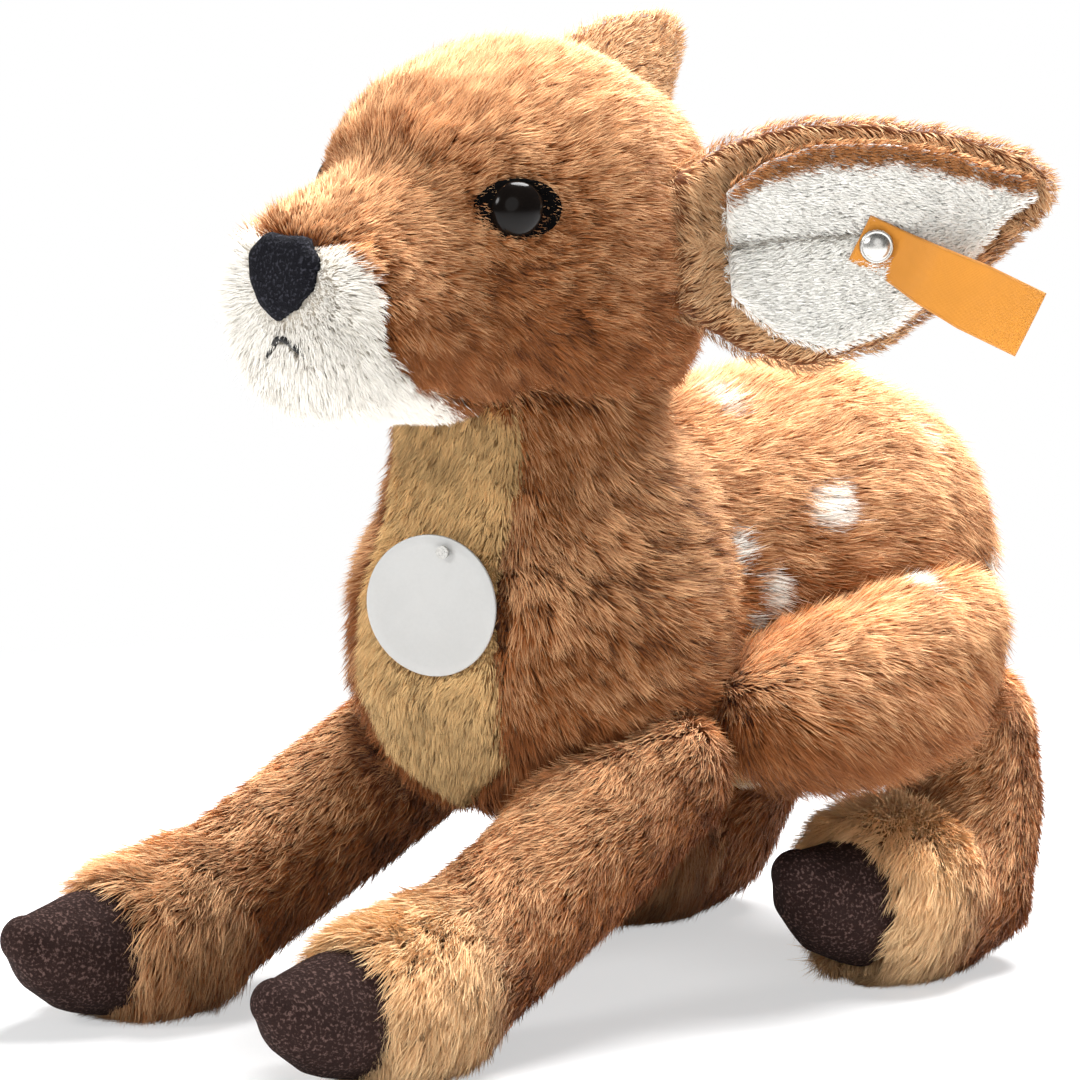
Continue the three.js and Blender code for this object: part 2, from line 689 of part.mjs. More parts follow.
// Eyes: each has a domed face, a shank through the felt patch and the cover, and a washer behind them
function eyeParts(side) {
  const way = turned(side * eye.bearing);
  const seat = surfaceFrom(headSurface, vec(0, 0, eye.level), way);
  const upright = Z.clone().addScaledVector(seat.normal, -Z.dot(seat.normal)).normalize();
  const frame = frameAt(seat.point, upright.clone().cross(seat.normal), upright, seat.normal);
  const back = eyePatch.thickness + eye.play;
  const radius = eye.diameter / 2;
  const ball = (radius * radius + eye.dome * eye.dome) / (2 * eye.dome);
  const arc = Math.asin(radius / ball);
  const profile = [];
  for (let i = 0; i <= domeRings; i += 1) {
    const angle = (arc * i) / domeRings;
    profile.push(new THREE.Vector2(ball * Math.sin(angle), back + eye.dome - ball * (1 - Math.cos(angle))));
  }
  const foot = -(pileCloth + eye.grip);
  profile.push(
    new THREE.Vector2(eye.shank / 2, back),
    new THREE.Vector2(eye.shank / 2, foot),
    new THREE.Vector2(0, foot),
  );
  const turnedUp = (geometry) => solid(outward(moved(geometry.rotateX(Math.PI / 2), frame)));
  const along = (radiusNow, from, to) =>
    solid(rod(radiusNow, vec(0, 0, from).applyMatrix4(frame), seat.normal, to - from));
  const hole = along(eye.shank / 2 + seamGap, foot - seamGap, back);
  const washerTop = -pileCloth - seamGap;
  const washerFoot = washerTop - washer.thickness;
  const washerSpace = along(washer.diameter / 2 + seamGap, washerFoot - seamGap, washerTop + seamGap);
  const ring = along(washer.diameter / 2, washerFoot, washerTop);
  const outline = new THREE.Shape();
  outline.absellipse(0, 0, eyePatch.length / 2, eyePatch.height / 2, 0, 2 * Math.PI);
  const patchPrism = new THREE.ExtrudeGeometry(outline, {
    depth: head.width / 2,
    bevelEnabled: false,
    curveSegments: roundSides / 2,
  });
  const felt = cut(
    solid(stuffed(headForm, bodyForm, -seamGap - eyePatch.thickness)),
    solid(stuffed(headForm, bodyForm, -seamGap)),
  );
  return {
    hole,
    washerSpace,
    eye: turnedUp(new THREE.LatheGeometry(profile, roundSides)),
    washer: cut(ring, hole),
    patch: cut(shared(felt, solid(moved(patchPrism.translate(0, 0, -eye.diameter / 2), frame))), hole),
  };
}

// The frame of an ear: X along it from its seam, Y up, Z towards the fawn's front
function earFrame(word, side) {
  const seat = surfaceFrom(headSurface, vec(0, 0, ear.level), turned(side * earBearing[word]));
  const sweep = degrees(earSweep[word]);
  const flat = vec(side * Math.cos(sweep), Math.sin(sweep), 0);
  const rise = degrees(earRise[word]);
  const along = flat.multiplyScalar(Math.cos(rise)).addScaledVector(Z, Math.sin(rise));
  const front = vec(side * Math.sin(sweep), -Math.cos(sweep), 0);
  const up = side > 0 ? front.clone().cross(along) : along.clone().cross(front);
  return { place: seat.point, along, up, front, frame: frameAt(seat.point, along, up, front) };
}

// A closed sheet between two grids of points
function sheetOf(front, back) {
  const rows = front.length;
  const columns = front[0].length;
  const points = [...front.flat(), ...back.flat()];
  const at = (layer, row, column) => layer * rows * columns + row * columns + column;
  const triangles = [];
  const quad = (a, b, c, d) => triangles.push(a, b, c, a, c, d);
  for (let row = 0; row + 1 < rows; row += 1) {
    for (let column = 0; column + 1 < columns; column += 1) {
      quad(at(0, row, column), at(0, row + 1, column), at(0, row + 1, column + 1), at(0, row, column + 1));
      quad(at(1, row, column), at(1, row, column + 1), at(1, row + 1, column + 1), at(1, row + 1, column));
    }
    quad(at(0, row, 0), at(1, row, 0), at(1, row + 1, 0), at(0, row + 1, 0));
    const far = columns - 1;
    quad(at(0, row, far), at(0, row + 1, far), at(1, row + 1, far), at(1, row, far));
  }
  const last = rows - 1;
  for (let column = 0; column + 1 < columns; column += 1) {
    quad(at(0, 0, column), at(0, 0, column + 1), at(1, 0, column + 1), at(1, 0, column));
    quad(at(0, last, column), at(1, last, column), at(1, last, column + 1), at(0, last, column + 1));
  }
  return outward(surfaceOf(points, triangles));
}

// The depth of the cupped ear behind its rim, at shares of its length and of its half width
const cupAt = (s, t) => -ear.cup * Math.sin(Math.PI * s ** cupShare) * (1 - t * t);

// One sheet of the ear, between two distances in front of its middle surface
function earSheet(frame, low, high, border, start) {
  const grid = (depth) =>
    earShares.map(([share, top, bottom]) => {
      const reach = start + share * (ear.length - border - start);
      const s = reach / ear.length;
      const middle = ((top + bottom) / 2) * ear.height;
      const half = Math.max(((top - bottom) / 2) * ear.height - border, ear.tip);
      const points = [];
      for (let i = 0; i <= earColumns; i += 1) {
        const t = (2 * i) / earColumns - 1;
        points.push(vec(reach, middle + t * half, depth + cupAt(s, t)).applyMatrix4(frame));
      }
      return points;
    });
  return solid(sheetOf(grid(high), grid(low)));
}

const eyes = new Map(sides.map(([word, side]) => [word, eyeParts(side)]));
const eyeHoles = [...eyes.values()].flatMap((one) => [one.hole, one.washerSpace]);
const ears = new Map(sides.map(([word, side]) => [word, earFrame(word, side)]));
const beadLength = (earShares[0][1] - earShares[0][2]) * ear.height;
const beadAt = (one, radius, length) =>
  rod(radius, one.place.clone().addScaledVector(one.up, -length / 2), one.up, length, limbForm.sides);
const grooveRadius = socketOf(ear.bead, limbForm.sides);
const grooves = [...ears.values()].map((one) => solid(beadAt(one, grooveRadius, beadLength + 2 * swingGap)));

const headHollow = solid(stuffed(headForm, insideForm, pileCloth));
const headShell = cut(solid(headSurface), headHollow, neckHole, ...eyeHoles, ...grooves);
piece(headGroup, "head_cover", cut(headShell, sideways(muzzleOutline, seamGap)), "coat");
piece(headGroup, "muzzle_cover", shared(headShell, sideways(muzzleOutline, 0)), "white");
piece(
  headGroup,
  "head_filling",
  cut(solid(stuffed(headForm, insideForm, pileCloth + seamGap)), neckHole, ...eyeHoles, ...grooves),
  "stuffing",
);
for (const [word] of sides) {
  const parts = eyes.get(word);
  piece(headGroup, `eye_${word}`, parts.eye, "eye");
  piece(headGroup, `eye_patch_${word}`, parts.patch, "eyePatch");
  piece(headGroup, `eye_washer_${word}`, parts.washer, "washer");
}

// The velour nose, domed by its rounded edge and hollowed to the muzzle behind it
const headCleared = solid(stuffed(headForm, bodyForm, -seamGap));
const noseSeat = surfaceFrom(headSurface, vec(0, 0, nose.level), Y.clone().negate());
const nosePoint = ([out, height]) =>
  new THREE.Vector2(out * (nose.width / 2 - nose.bevel), height * (nose.height - 2 * nose.bevel));
const noseOther = noseShares.slice(1, -1).reverse();
const noseOutline = new THREE.Shape([
  ...noseShares.map(nosePoint),
  ...noseOther.map(([out, height]) => nosePoint([-out, height])),
]);
const noseBlock = new THREE.ExtrudeGeometry(noseOutline, {
  depth: nose.depth,
  bevelThickness: nose.bevel,
  bevelSize: nose.bevel,
  bevelSegments: noseRounds,
});
const noseUp = Z.clone().addScaledVector(noseSeat.normal, -Z.dot(noseSeat.normal)).normalize();
const noseFrame = frameAt(noseSeat.point, noseUp.clone().cross(noseSeat.normal), noseUp, noseSeat.normal);
const noseShape = solid(moved(noseBlock.translate(0, 0, nose.proud - nose.depth - nose.bevel), noseFrame));
piece(headGroup, "nose", cut(noseShape, headCleared), "noseVelour");

// The mouth is one thread laid on the muzzle, from one corner up to the middle and down to the other
const mouthPoints = mouthShares.map(([out, drop]) => {
  const level = mouth.level - drop * mouth.drop;
  const ahead = vec((out * mouth.width) / 2, muzzle.edge - head.forward, 0);
  const seat = surfaceFrom(headSurface, vec(0, -muzzle.edge, level), ahead);
  return seat.point.addScaledVector(seat.normal, mouth.thickness / 2 + seamGap);
});
const threadRound = new THREE.Shape().absarc(0, 0, mouth.thickness / 2, 0, 2 * Math.PI);
const mouthThread = new THREE.ExtrudeGeometry(threadRound, {
  steps: threadSteps * mouthPoints.length,
  curveSegments: threadSteps,
  extrudePath: new THREE.CatmullRomCurve3(mouthPoints),
});
piece(headGroup, "mouth_stitch", cut(solid(mouthThread), headCleared), "thread");

// Ears: a brown back with the bead of its seam, and a smaller lining in front of it
const buttonEar = ears.get("left");
const buttonPlace = vec(button.along, -button.below, 0);
const buttonDepth = cupAt(button.along / ear.length, (-2 * button.below) / ear.height);
const onEar = (depth) => vec(buttonPlace.x, buttonPlace.y, depth).applyMatrix4(buttonEar.frame);
const liningFront = buttonDepth + lining.gap + panelCloth;
const labelBack = liningFront + lining.play;
const headBack = labelBack + label.thickness + seamGap;
const washerFront = buttonDepth - pileCloth - lining.play;
const buttonRoom = button.shank / 2 + seamGap;
const buttonHole = solid(rod(buttonRoom, onEar(washerFront), buttonEar.front, headBack - washerFront));
for (const [word, side] of sides) {
  const one = ears.get(word);
  const group = hinged(headGroup, `ear_${word}`, one.place);
  const holes = side > 0 ? [buttonHole] : [];
  const bead = solid(beadAt(one, ear.bead, beadLength));
  const axis = one.up.clone().multiplyScalar(-side);
  const met = metOn([{ form: headForm, counts: bodyForm }], swingGap, one.place, axis, earSwing);
  const back = joined(cut(earSheet(one.frame, -pileCloth, 0, 0, 0), ...met), bead);
  piece(group, `ear_${word}_back`, cut(back, ...holes), "coat");
  const front = earSheet(one.frame, lining.gap, lining.gap + panelCloth, lining.border, lining.start);
  const beadRoom = solid(beadAt(one, ear.bead + seamGap, beadLength + 2 * seamGap));
  piece(group, `ear_${word}_lining`, cut(front, beadRoom, ...met, ...holes), "lining");
}

// The button's domed front half with its shank, and the flat half that it snaps into behind the ear
const earGroup = headGroup.getObjectByName("ear_left");
const buttonArc = (button.diameter ** 2 / 4 + button.dome ** 2) / (2 * button.dome);
const buttonProfile = [];
for (let i = 0; i <= domeRings; i += 1) {
  const angle = (Math.asin(button.diameter / 2 / buttonArc) * i) / domeRings;
  const drop = buttonArc * (1 - Math.cos(angle));
  buttonProfile.push(new THREE.Vector2(buttonArc * Math.sin(angle), button.rim + button.dome - drop));
}
const shankFoot = washerFront - button.washer - headBack;
buttonProfile.push(
  new THREE.Vector2(button.diameter / 2, 0),
  new THREE.Vector2(button.shank / 2, 0),
  new THREE.Vector2(button.shank / 2, shankFoot),
  new THREE.Vector2(0, shankFoot),
);
const buttonFrame = frameAt(onEar(headBack), buttonEar.along, buttonEar.up, buttonEar.front);
piece(
  earGroup,
  "ear_button",
  solid(outward(moved(new THREE.LatheGeometry(buttonProfile, roundSides).rotateX(Math.PI / 2), buttonFrame))),
  "nickel",
);
const backwards = buttonEar.front.clone().negate();
const washerPlate = solid(rod(button.diameter / 2, onEar(washerFront), backwards, button.washer));
const washerHole = rod(buttonRoom, onEar(washerFront + seamGap), backwards, button.washer + 2 * seamGap);
piece(earGroup, "ear_button_washer", cut(washerPlate, solid(washerHole)), "nickel");

// The woven label hangs from the button, narrow where the button clamps it
const labelGroup = hinged(earGroup, "ear_label", onEar(labelBack));
const labelFrame = frameAt(onEar(labelBack), buttonEar.along, buttonEar.up, buttonEar.front).multiply(
  new THREE.Matrix4().makeRotationZ(degrees(-label.droop)),
);
const labelGrid = (depth) =>
  labelShares.map(([place, width, rise]) =>
    [-width / 2, width / 2].map((edge) =>
      vec(place * label.length, edge * label.width, depth + rise * label.rise).applyMatrix4(labelFrame),
    ),
  );
const labelSheet = solid(sheetOf(labelGrid(label.thickness), labelGrid(0)));
piece(labelGroup, "ear_label", cut(labelSheet, buttonHole), "label");

// The origin is the middle of the floor below the toy
const part = new THREE.Group();
part.add(toy);
toy.updateMatrixWorld(true);
const box = new THREE.Box3().setFromObject(toy, true);
const middle = box.getCenter(vec(0, 0, 0));
toy.position.set(-middle.x, -middle.y, 0);

export default part;
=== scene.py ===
import itertools
import json
import math

import bmesh
import bpy
import numpy as np
from bpy.props import FloatProperty, FloatVectorProperty, IntProperty, PointerProperty
from mathutils import Matrix, Vector
from mathutils.bvhtree import BVHTree


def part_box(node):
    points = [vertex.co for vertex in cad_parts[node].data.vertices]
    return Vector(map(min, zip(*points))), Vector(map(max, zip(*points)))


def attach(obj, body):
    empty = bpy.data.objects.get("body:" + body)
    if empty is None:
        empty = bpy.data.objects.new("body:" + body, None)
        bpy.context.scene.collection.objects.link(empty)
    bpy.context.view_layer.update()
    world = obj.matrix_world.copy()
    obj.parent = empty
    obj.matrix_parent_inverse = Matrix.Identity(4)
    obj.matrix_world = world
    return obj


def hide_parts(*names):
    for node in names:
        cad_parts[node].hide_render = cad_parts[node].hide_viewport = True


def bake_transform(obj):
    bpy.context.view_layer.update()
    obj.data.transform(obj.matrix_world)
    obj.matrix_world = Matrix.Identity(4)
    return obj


bl_info = {
    "name": "Plush fawn",
    "version": (1, 0, 0),
    "blender": (4, 5, 0),
    "location": "3D View > Sidebar > Fawn",
    "description": "Skins, pile, eyes, hooves, ear label and card of a lying plush fawn",
    "category": "Object",
}

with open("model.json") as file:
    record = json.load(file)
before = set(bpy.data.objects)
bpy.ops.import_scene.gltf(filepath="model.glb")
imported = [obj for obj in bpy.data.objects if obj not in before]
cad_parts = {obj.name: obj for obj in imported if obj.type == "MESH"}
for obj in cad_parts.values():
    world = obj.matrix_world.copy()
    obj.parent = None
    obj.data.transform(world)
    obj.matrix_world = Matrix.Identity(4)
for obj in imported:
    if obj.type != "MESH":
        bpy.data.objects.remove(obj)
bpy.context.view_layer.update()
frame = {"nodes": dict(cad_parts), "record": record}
MM = 0.001
SIDES = {"left": 1, "right": -1}
JOINTS = {joint["name"]: joint for joint in frame["record"]["behaviour"]["joints"]}
# The toy's own middle: 4 mm behind the neck's axis, about which the head turns.
NECK = Vector(JOINTS["head_turn"]["pos_m"])
MIDDLE = Vector((NECK.x, NECK.y + 4 * MM, 0))
HEAD_TURN = math.radians(3)
# Frames that the stuffing is given to push the skins out.
CLOTH_FRAMES = 20


def linear(red, green, blue):
    """A colour picked on a screen, 0 to 255, as the light values that Blender works with."""
    shares = (value / 255 for value in (red, green, blue))
    return tuple(s / 12.92 if s < 0.04045 else ((s + 0.055) / 1.055) ** 2.4 for s in shares)


def at(x, y, z):
    """A place given in millimetres from the toy's middle."""
    return MIDDLE + Vector((x, y, z)) * MM


def head_point(x, y, z):
    """A place on the head, given on the neck's axis before the head turns, in toy millimetres."""
    turn = Matrix.Rotation(HEAD_TURN, 3, "Z")
    return turn @ Vector((x, y, z)) - Vector((0, 4, 0))


def colour_field(title, value, text):
    """A colour that the user can change."""
    return FloatVectorProperty(
        name=title, description=text, default=value, subtype="COLOR", min=0, max=1
    )


def length_field(title, millimetres, text):
    """A length that the user can change."""
    return FloatProperty(
        name=title, description=text, default=millimetres * MM, unit="LENGTH", min=0, precision=4
    )


class FawnSizes(bpy.types.PropertyGroup):
    """Lengths of the pile and of the small parts."""

    body_pile: length_field("Body pile", 9.0, "Length of the pile on the body and thighs")
    head_pile: length_field("Head pile", 7.0, "Length of the pile on the head")
    foot_pile: length_field("Foot pile", 11.5, "Length of the long pile on the feet")
    leg_pile: length_field("Leg pile", 7.5, "Length of the pile on the legs")
    bib_pile: length_field("Bib pile", 5.0, "Length of the pile on the bib and the belly")
    muzzle_pile: length_field("Muzzle pile", 4.5, "Length of the pile on the muzzle")
    ear_pile: length_field("Ear pile", 4.2, "Length of the pile on the backs of the ears")
    lining_pile: length_field("Lining pile", 2.6, "Length of the nap in the ears")
    blade: length_field("Blade width", 0.35, "Widest place of one blade of pile")
    voxel: length_field("Skin grid", 3.2, "Grid that a skin is remeshed on")
    sink: length_field("Skin depth", 2.0, "How far the skin lies under the packed solid")
    plump_cap: length_field("Plump", 1.6, "Farthest that the stuffing may push a skin out")
    pressure: FloatProperty(
        name="Pressure", description="Pressure of the stuffing", default=4, min=0, max=20
    )
    thickness: IntProperty(
        name="Blades", description="Percent of the full count of blades", default=100, min=5, max=100
    )


class FawnColours(bpy.types.PropertyGroup):
    """Colours of the pile, the velour and the small parts."""

    root: colour_field("Root", linear(88, 42, 16), "Pile at its roots")
    fur: colour_field("Fur", linear(160, 92, 42), "Pile halfway up")
    tip: colour_field("Tip", linear(238, 190, 140), "Pile at its tips")
    foot_tip: colour_field("Foot tip", linear(252, 216, 165), "Tips of the long pile on the feet")
    # The shade colour is dark pile on the cheeks, and painted shade on the flanks.
    shade: colour_field("Shade", linear(96, 50, 22), "Dark pile on the cheeks")
    spot: colour_field("Spot", linear(250, 246, 238), "White spots, muzzle and jaw")
    spot_root: colour_field("Spot root", linear(236, 226, 210), "Roots of the white pile")
    bib: colour_field("Bib", linear(240, 200, 140), "Bib and belly")
    bib_root: colour_field("Bib root", linear(188, 146, 90), "Roots of the bib's pile")
    lining: colour_field("Lining", linear(255, 253, 247), "Nap in the ears")
    hoof: colour_field("Hoof", linear(46, 32, 29), "Velour of the hooves")
    nose: colour_field("Nose", linear(22, 22, 27), "Velour of the nose")
    felt: colour_field("Felt", linear(9, 8, 8), "Patches behind the eyes")
    nickel: colour_field("Nickel", linear(205, 203, 198), "Button, pin and washers")
    label: colour_field("Label", linear(236, 152, 30), "Woven label")
    card: colour_field("Card", linear(182, 182, 180), "Chest tag")


def sizes():
    """The sizes of this scene."""
    return bpy.context.scene.fawn_sizes


def colours():
    """The colours of this scene."""
    return bpy.context.scene.fawn_colours


class Value:
    """A shader socket that sums like a number."""

    def __init__(self, finish, socket):
        self.finish, self.socket = finish, socket

    def __add__(self, other):
        return self.finish.maths("ADD", self, other)

    def __sub__(self, other):
        return self.finish.maths("SUBTRACT", self, other)

    def __rsub__(self, other):
        return self.finish.maths("SUBTRACT", other, self)

    def __mul__(self, other):
        return self.finish.maths("MULTIPLY", self, other)

    __radd__, __rmul__ = __add__, __mul__

    def clipped(self):
        """This value, kept between 0 and 1."""
        return self.finish.maths("MINIMUM", self.finish.maths("MAXIMUM", self, 0.0), 1.0)

    def step(self, low, high):
        """0 below low, 1 above high, smooth between."""
        values = {"Value": self, "From Min": low, "From Max": high}
        return self.finish.node("MapRange", values, interpolation_type="SMOOTHSTEP")["Result"]


class Finish:
    """One material, wired by short calls."""

    def __init__(self, name, roughness=0.6, **fixed):
        self.material = bpy.data.materials.new(name)
        self.material.use_nodes = True
        self.tree = self.material.node_tree
        self.shader = self.tree.nodes["Principled BSDF"]
        self.set(Roughness=roughness, **fixed)

    def node(self, kind, values=None, **settings):
        """A node of any kind, its sockets set or linked; returns its outputs by name."""
        made = self.tree.nodes.new("ShaderNode" + kind)
        for key, value in settings.items():
            setattr(made, key, value)
        for key, value in (values or {}).items():
            self.plug(made.inputs[key], value)
        return {out.identifier: Value(self, out) for out in made.outputs} | {
            out.name: Value(self, out) for out in reversed(made.outputs) if out.enabled
        }

    def plug(self, socket, value):
        """Links a value into a socket, or sets the number or colour on it."""
        if isinstance(value, Value):
            self.tree.links.new(value.socket, socket)
        elif isinstance(value, (int, float)):
            socket.default_value = value
        else:
            held = tuple(value)
            short = socket.type == "RGBA" and len(held) == 3
            socket.default_value = (*held, 1) if short else held

    def set(self, **values):
        """Sets or links the shader's own sockets; a low line in a name stands for a space."""
        for key, value in values.items():
            self.plug(self.shader.inputs[key.replace("_", " ")], value)
        return self

    def maths(self, operation, first, second):
        """One Math node."""
        return self.node("Math", {0: first, 1: second}, operation=operation)["Value"]

    def mix(self, share, first, second):
        """A mix of two colours."""
        return self.node("Mix", {0: share, 6: first, 7: second}, data_type="RGBA")["Result_Color"]

    def place(self):
        """The point on the piece, in metres."""
        return self.node("TexCoord")["Object"]

    def noise(self, period, detail=3):
        """Noise from 0 to 1 whose patches are about period metres across."""
        values = {"Vector": self.place(), "Scale": 1 / period, "Detail": detail, "Roughness": 0.55}
        return self.node("TexNoise", values)["Fac"]

    def speckled(self, dark, colour, fine, cloud, share, low, high):
        """Mixes the colour by fine and cloudy noise, the fine one at a share of it; returns the fine one."""
        grain = self.noise(*fine)
        shade = (grain * share + self.noise(*cloud) * (1 - share)).step(low, high)
        self.set(Base_Color=self.mix(shade, dark, colour))
        return grain

    def bump(self, height, depth):
        """Bumps up to depth metres high on the shader."""
        return self.set(Normal=self.node("Bump", {"Distance": depth, "Height": height})["Normal"])


def grained(name, colour, dark, period, depth, roughness, **fixed):
    """A plain finish with a fine grain in its colour, gloss and surface."""
    finish = Finish(name, roughness, **fixed)
    grain = finish.speckled(dark, colour, (period, 4), (period * 12, 2), 0.7, 0.32, 0.68)
    finish.set(Roughness=(grain * 0.16 + (roughness - 0.08)).clipped())
    return finish.bump(grain, depth).material


def velour(name, colour, glint):
    """Short dense cloth with flecks of painted glint where it catches light."""
    finish = Finish(name, 0.95, Specular_IOR_Level=0.1)
    fibre = finish.noise(0.0008, 3)
    base = finish.mix(finish.noise(0.006, 2), deeper(colour, 0.7), colour)
    finish.set(Base_Color=finish.mix(fibre.step(0.5, 0.7) * 0.7, base, glint))
    return finish.bump(fibre, 0.0006).material


def deeper(colour, share):
    """The same colour with less light."""
    return tuple(value * share for value in colour)


def pile_finish(name, root, middle, tip, pale_root, pale_tip, dark):
    """Fur, from its roots to its tips; the blades carry height, chance, paleness and darkness. Chance holds
    painted light that makes blades facing up lighter and paler-tipped. Darkness is dark pile on the cheeks
    and round the eyes, and painted shade on the flanks and in the ear creases.
    """
    finish = Finish(name, 0.62, Sheen_Weight=0.1, Sheen_Roughness=0.4, Specular_IOR_Level=0.2)
    blade = finish.node("Attribute", attribute_name="pile")
    parts = finish.node("SeparateColor", {"Color": blade["Color"]})
    height, chance, pale, shade = parts["Red"], parts["Green"], parts["Blue"], blade["Alpha"]
    brown = finish.mix(height.step(0.0, 0.62), root, middle)
    # More pale tips where chance is high, so more on skin facing up: partly painted light.
    brown = finish.mix((height - 0.7 + chance * 0.8).step(0.15, 0.9), brown, tip)
    white = finish.mix(height.step(0.0, 0.6), pale_root, pale_tip)
    hair = finish.mix(pale, brown, white)
    hair = finish.mix(shade, hair, finish.mix(height.step(0.3, 1.1), deeper(dark, 0.45), dark))
    cloud = finish.noise(0.014, 3)
    # Lighter where chance is high: random tone, and painted light on skin facing up.
    light = cloud * 0.3 + chance * 0.65 + 0.44
    light = light + (1.0 - light) * pale * 0.75
    made = finish.node("VectorMath", {0: hair, "Scale": light}, operation="SCALE")
    return finish.set(Base_Color=made["Vector"]).material


def skin_finish(name, colour):
    """The knitted backing that the pile grows from."""
    finish = Finish(name, 0.9, Sheen_Weight=0.3)
    knit = finish.speckled(deeper(colour, 0.6), colour, (0.0009, 2), (0.012, 3), 0.5, 0.3, 0.7)
    return finish.bump(knit, 0.0003).material


def piece_from(name, shape):
    """A new object that takes over a bmesh."""
    mesh = bpy.data.meshes.new(name)
    shape.to_mesh(mesh)
    shape.free()
    piece = bpy.data.objects.new(name, mesh)
    bpy.context.scene.collection.objects.link(piece)
    return piece


def finished(piece, material, smooth=True):
    """Gives a piece its only material and its shading."""
    piece.data.materials.clear()
    piece.data.materials.append(material)
    for face in piece.data.polygons:
        face.use_smooth = smooth
    return piece


def applied(piece):
    """Turns a piece's modifiers into its mesh."""
    graph = bpy.context.evaluated_depsgraph_get()
    mesh = bpy.data.meshes.new_from_object(piece.evaluated_get(graph))
    piece.modifiers.clear()
    piece.data = mesh
    return piece


def solids_of(nodes):
    """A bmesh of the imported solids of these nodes, with their loose triangles merged."""
    shape = bmesh.new()
    for node in nodes:
        shape.from_mesh(frame["nodes"][node].data)
    bmesh.ops.remove_doubles(shape, verts=shape.verts, dist=1e-6)
    return shape


def keep_largest(piece):
    """Drops every loose shell of a piece but the largest."""
    shape = bmesh.new()
    shape.from_mesh(piece.data)
    left, shells = set(shape.verts), []
    while left:
        shell, edge = set(), [left.pop()]
        while edge:
            vert = edge.pop()
            shell.add(vert)
            near = {link.other_vert(vert) for link in vert.link_edges} & left
            left -= near
            edge.extend(near)
        shells.append(shell)
    spare = [vert for shell in sorted(shells, key=len)[:-1] for vert in shell]
    bmesh.ops.delete(shape, geom=spare, context="VERTS")
    shape.to_mesh(piece.data)
    shape.free()
    return piece


def skin_of(name, nodes, voxel, sink, rounds=5):
    """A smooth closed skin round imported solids, sunk under their surface."""
    piece = piece_from(name, solids_of(nodes))
    grid = piece.modifiers.new("grid", "REMESH")
    grid.mode, grid.voxel_size = "VOXEL", voxel
    keep_largest(applied(piece))
    relax = piece.modifiers.new("relax", "SMOOTH")
    relax.factor, relax.iterations = 0.5, rounds
    sunk = piece.modifiers.new("sunk", "DISPLACE")
    sunk.mid_level, sunk.strength = 0, -sink
    return applied(piece)


def plumped(piece, cap):
    """Stuffs a skin: cloth under pressure, moved no farther than cap."""
    before = np.empty(len(piece.data.vertices) * 3, np.float32)
    piece.data.vertices.foreach_get("co", before)
    cloth = piece.modifiers.new("stuffing", "CLOTH")
    cloth.settings.use_pressure = True
    cloth.settings.uniform_pressure_force = sizes().pressure
    cloth.settings.effector_weights.gravity = 0
    cloth.point_cache.frame_start, cloth.point_cache.frame_end = 1, CLOTH_FRAMES
    for count in range(1, CLOTH_FRAMES + 1):
        bpy.context.scene.frame_set(count)
    applied(piece)
    bpy.context.scene.frame_set(1)
    after = np.empty_like(before)
    piece.data.vertices.foreach_get("co", after)
    before, after = before.reshape(-1, 3), after.reshape(-1, 3)
    move = after - before
    far = np.linalg.norm(move, axis=1, keepdims=True)
    move *= np.minimum(1, cap / np.maximum(far, 1e-9))
    piece.data.vertices.foreach_set("co", (before + move).ravel())
    piece.data.update()
    return piece


def tree_of(piece):
    """A search tree of a piece's faces."""
    shape = bmesh.new()
    shape.from_mesh(piece.data)
    tree = BVHTree.FromBMesh(shape)
    shape.free()
    return tree


def covered(tree, point, normal, reach):
    """True if the point lies inside a skin, or the skin lies close above it."""
    _, facing, _, far = tree.ray_cast(point + normal * 0.3 * MM, normal)
    return facing is not None and (facing.dot(normal) > 0 or far < reach)


def numbers(items, name, width, kind=np.float32):
    """One property of many mesh items, as rows."""
    held = np.empty(len(items) * width, kind)
    items.foreach_get(name, held)
    return held.reshape(-1, width) if width > 1 else held


def unit(rows):
    """Rows scaled to length 1."""
    return rows / np.maximum(np.linalg.norm(rows, axis=1, keepdims=True), 1e-9)


def along_skin(rows, normals):
    """Ways laid flat on a skin, at length 1."""
    return unit(rows - normals * (rows * normals).sum(1, keepdims=True))


def ramp(values, start, end):
    """0 at the start, 1 at the end, straight between."""
    return np.clip((values - start) / (end - start), 0, 1)


def distance(points, spot):
    """How far each point lies from a spot."""
    return np.linalg.norm(points - np.array(spot), axis=1)


# A table of chances for the clumps, and the numbers that pick a row of it for a cell of the clumps' grid.
CHANCES = np.random.default_rng(7).random((8192, 4)).astype(np.float32)
CELL_KEYS = np.array([73856093, 19349663, 83492791])


def clumps(points, cell):
    """The nearest of many scattered clump centres for each point, and the clump's own number."""
    home = np.floor(points / cell).astype(np.int64)
    least = np.full(len(points), np.inf)
    centre, mark = np.zeros_like(points), np.zeros(len(points))
    for step in itertools.product((-1, 0, 1), repeat=3):
        key = home + step
        pick = CHANCES[(key @ CELL_KEYS) % len(CHANCES)]
        spot = (key + pick[:, :3]) * cell
        gap = ((spot - points) ** 2).sum(1)
        near = gap < least
        least[near], centre[near], mark[near] = gap[near], spot[near], pick[near, 3]
    return centre, mark


def waves(points, period, phase=0.0):
    """A slow smooth wander from -1 to 1 over the toy."""
    turn = points * (2 * math.pi / period)
    x, y, z = turn.T
    mixed = np.sin(x + 1.7 * np.sin(0.7 * y + phase)) + np.sin(y * 1.1 + 1.3 * np.sin(z * 0.8 + phase))
    return (mixed + np.sin(z * 0.9 + 1.5 * np.sin(0.6 * x + phase))) / 3


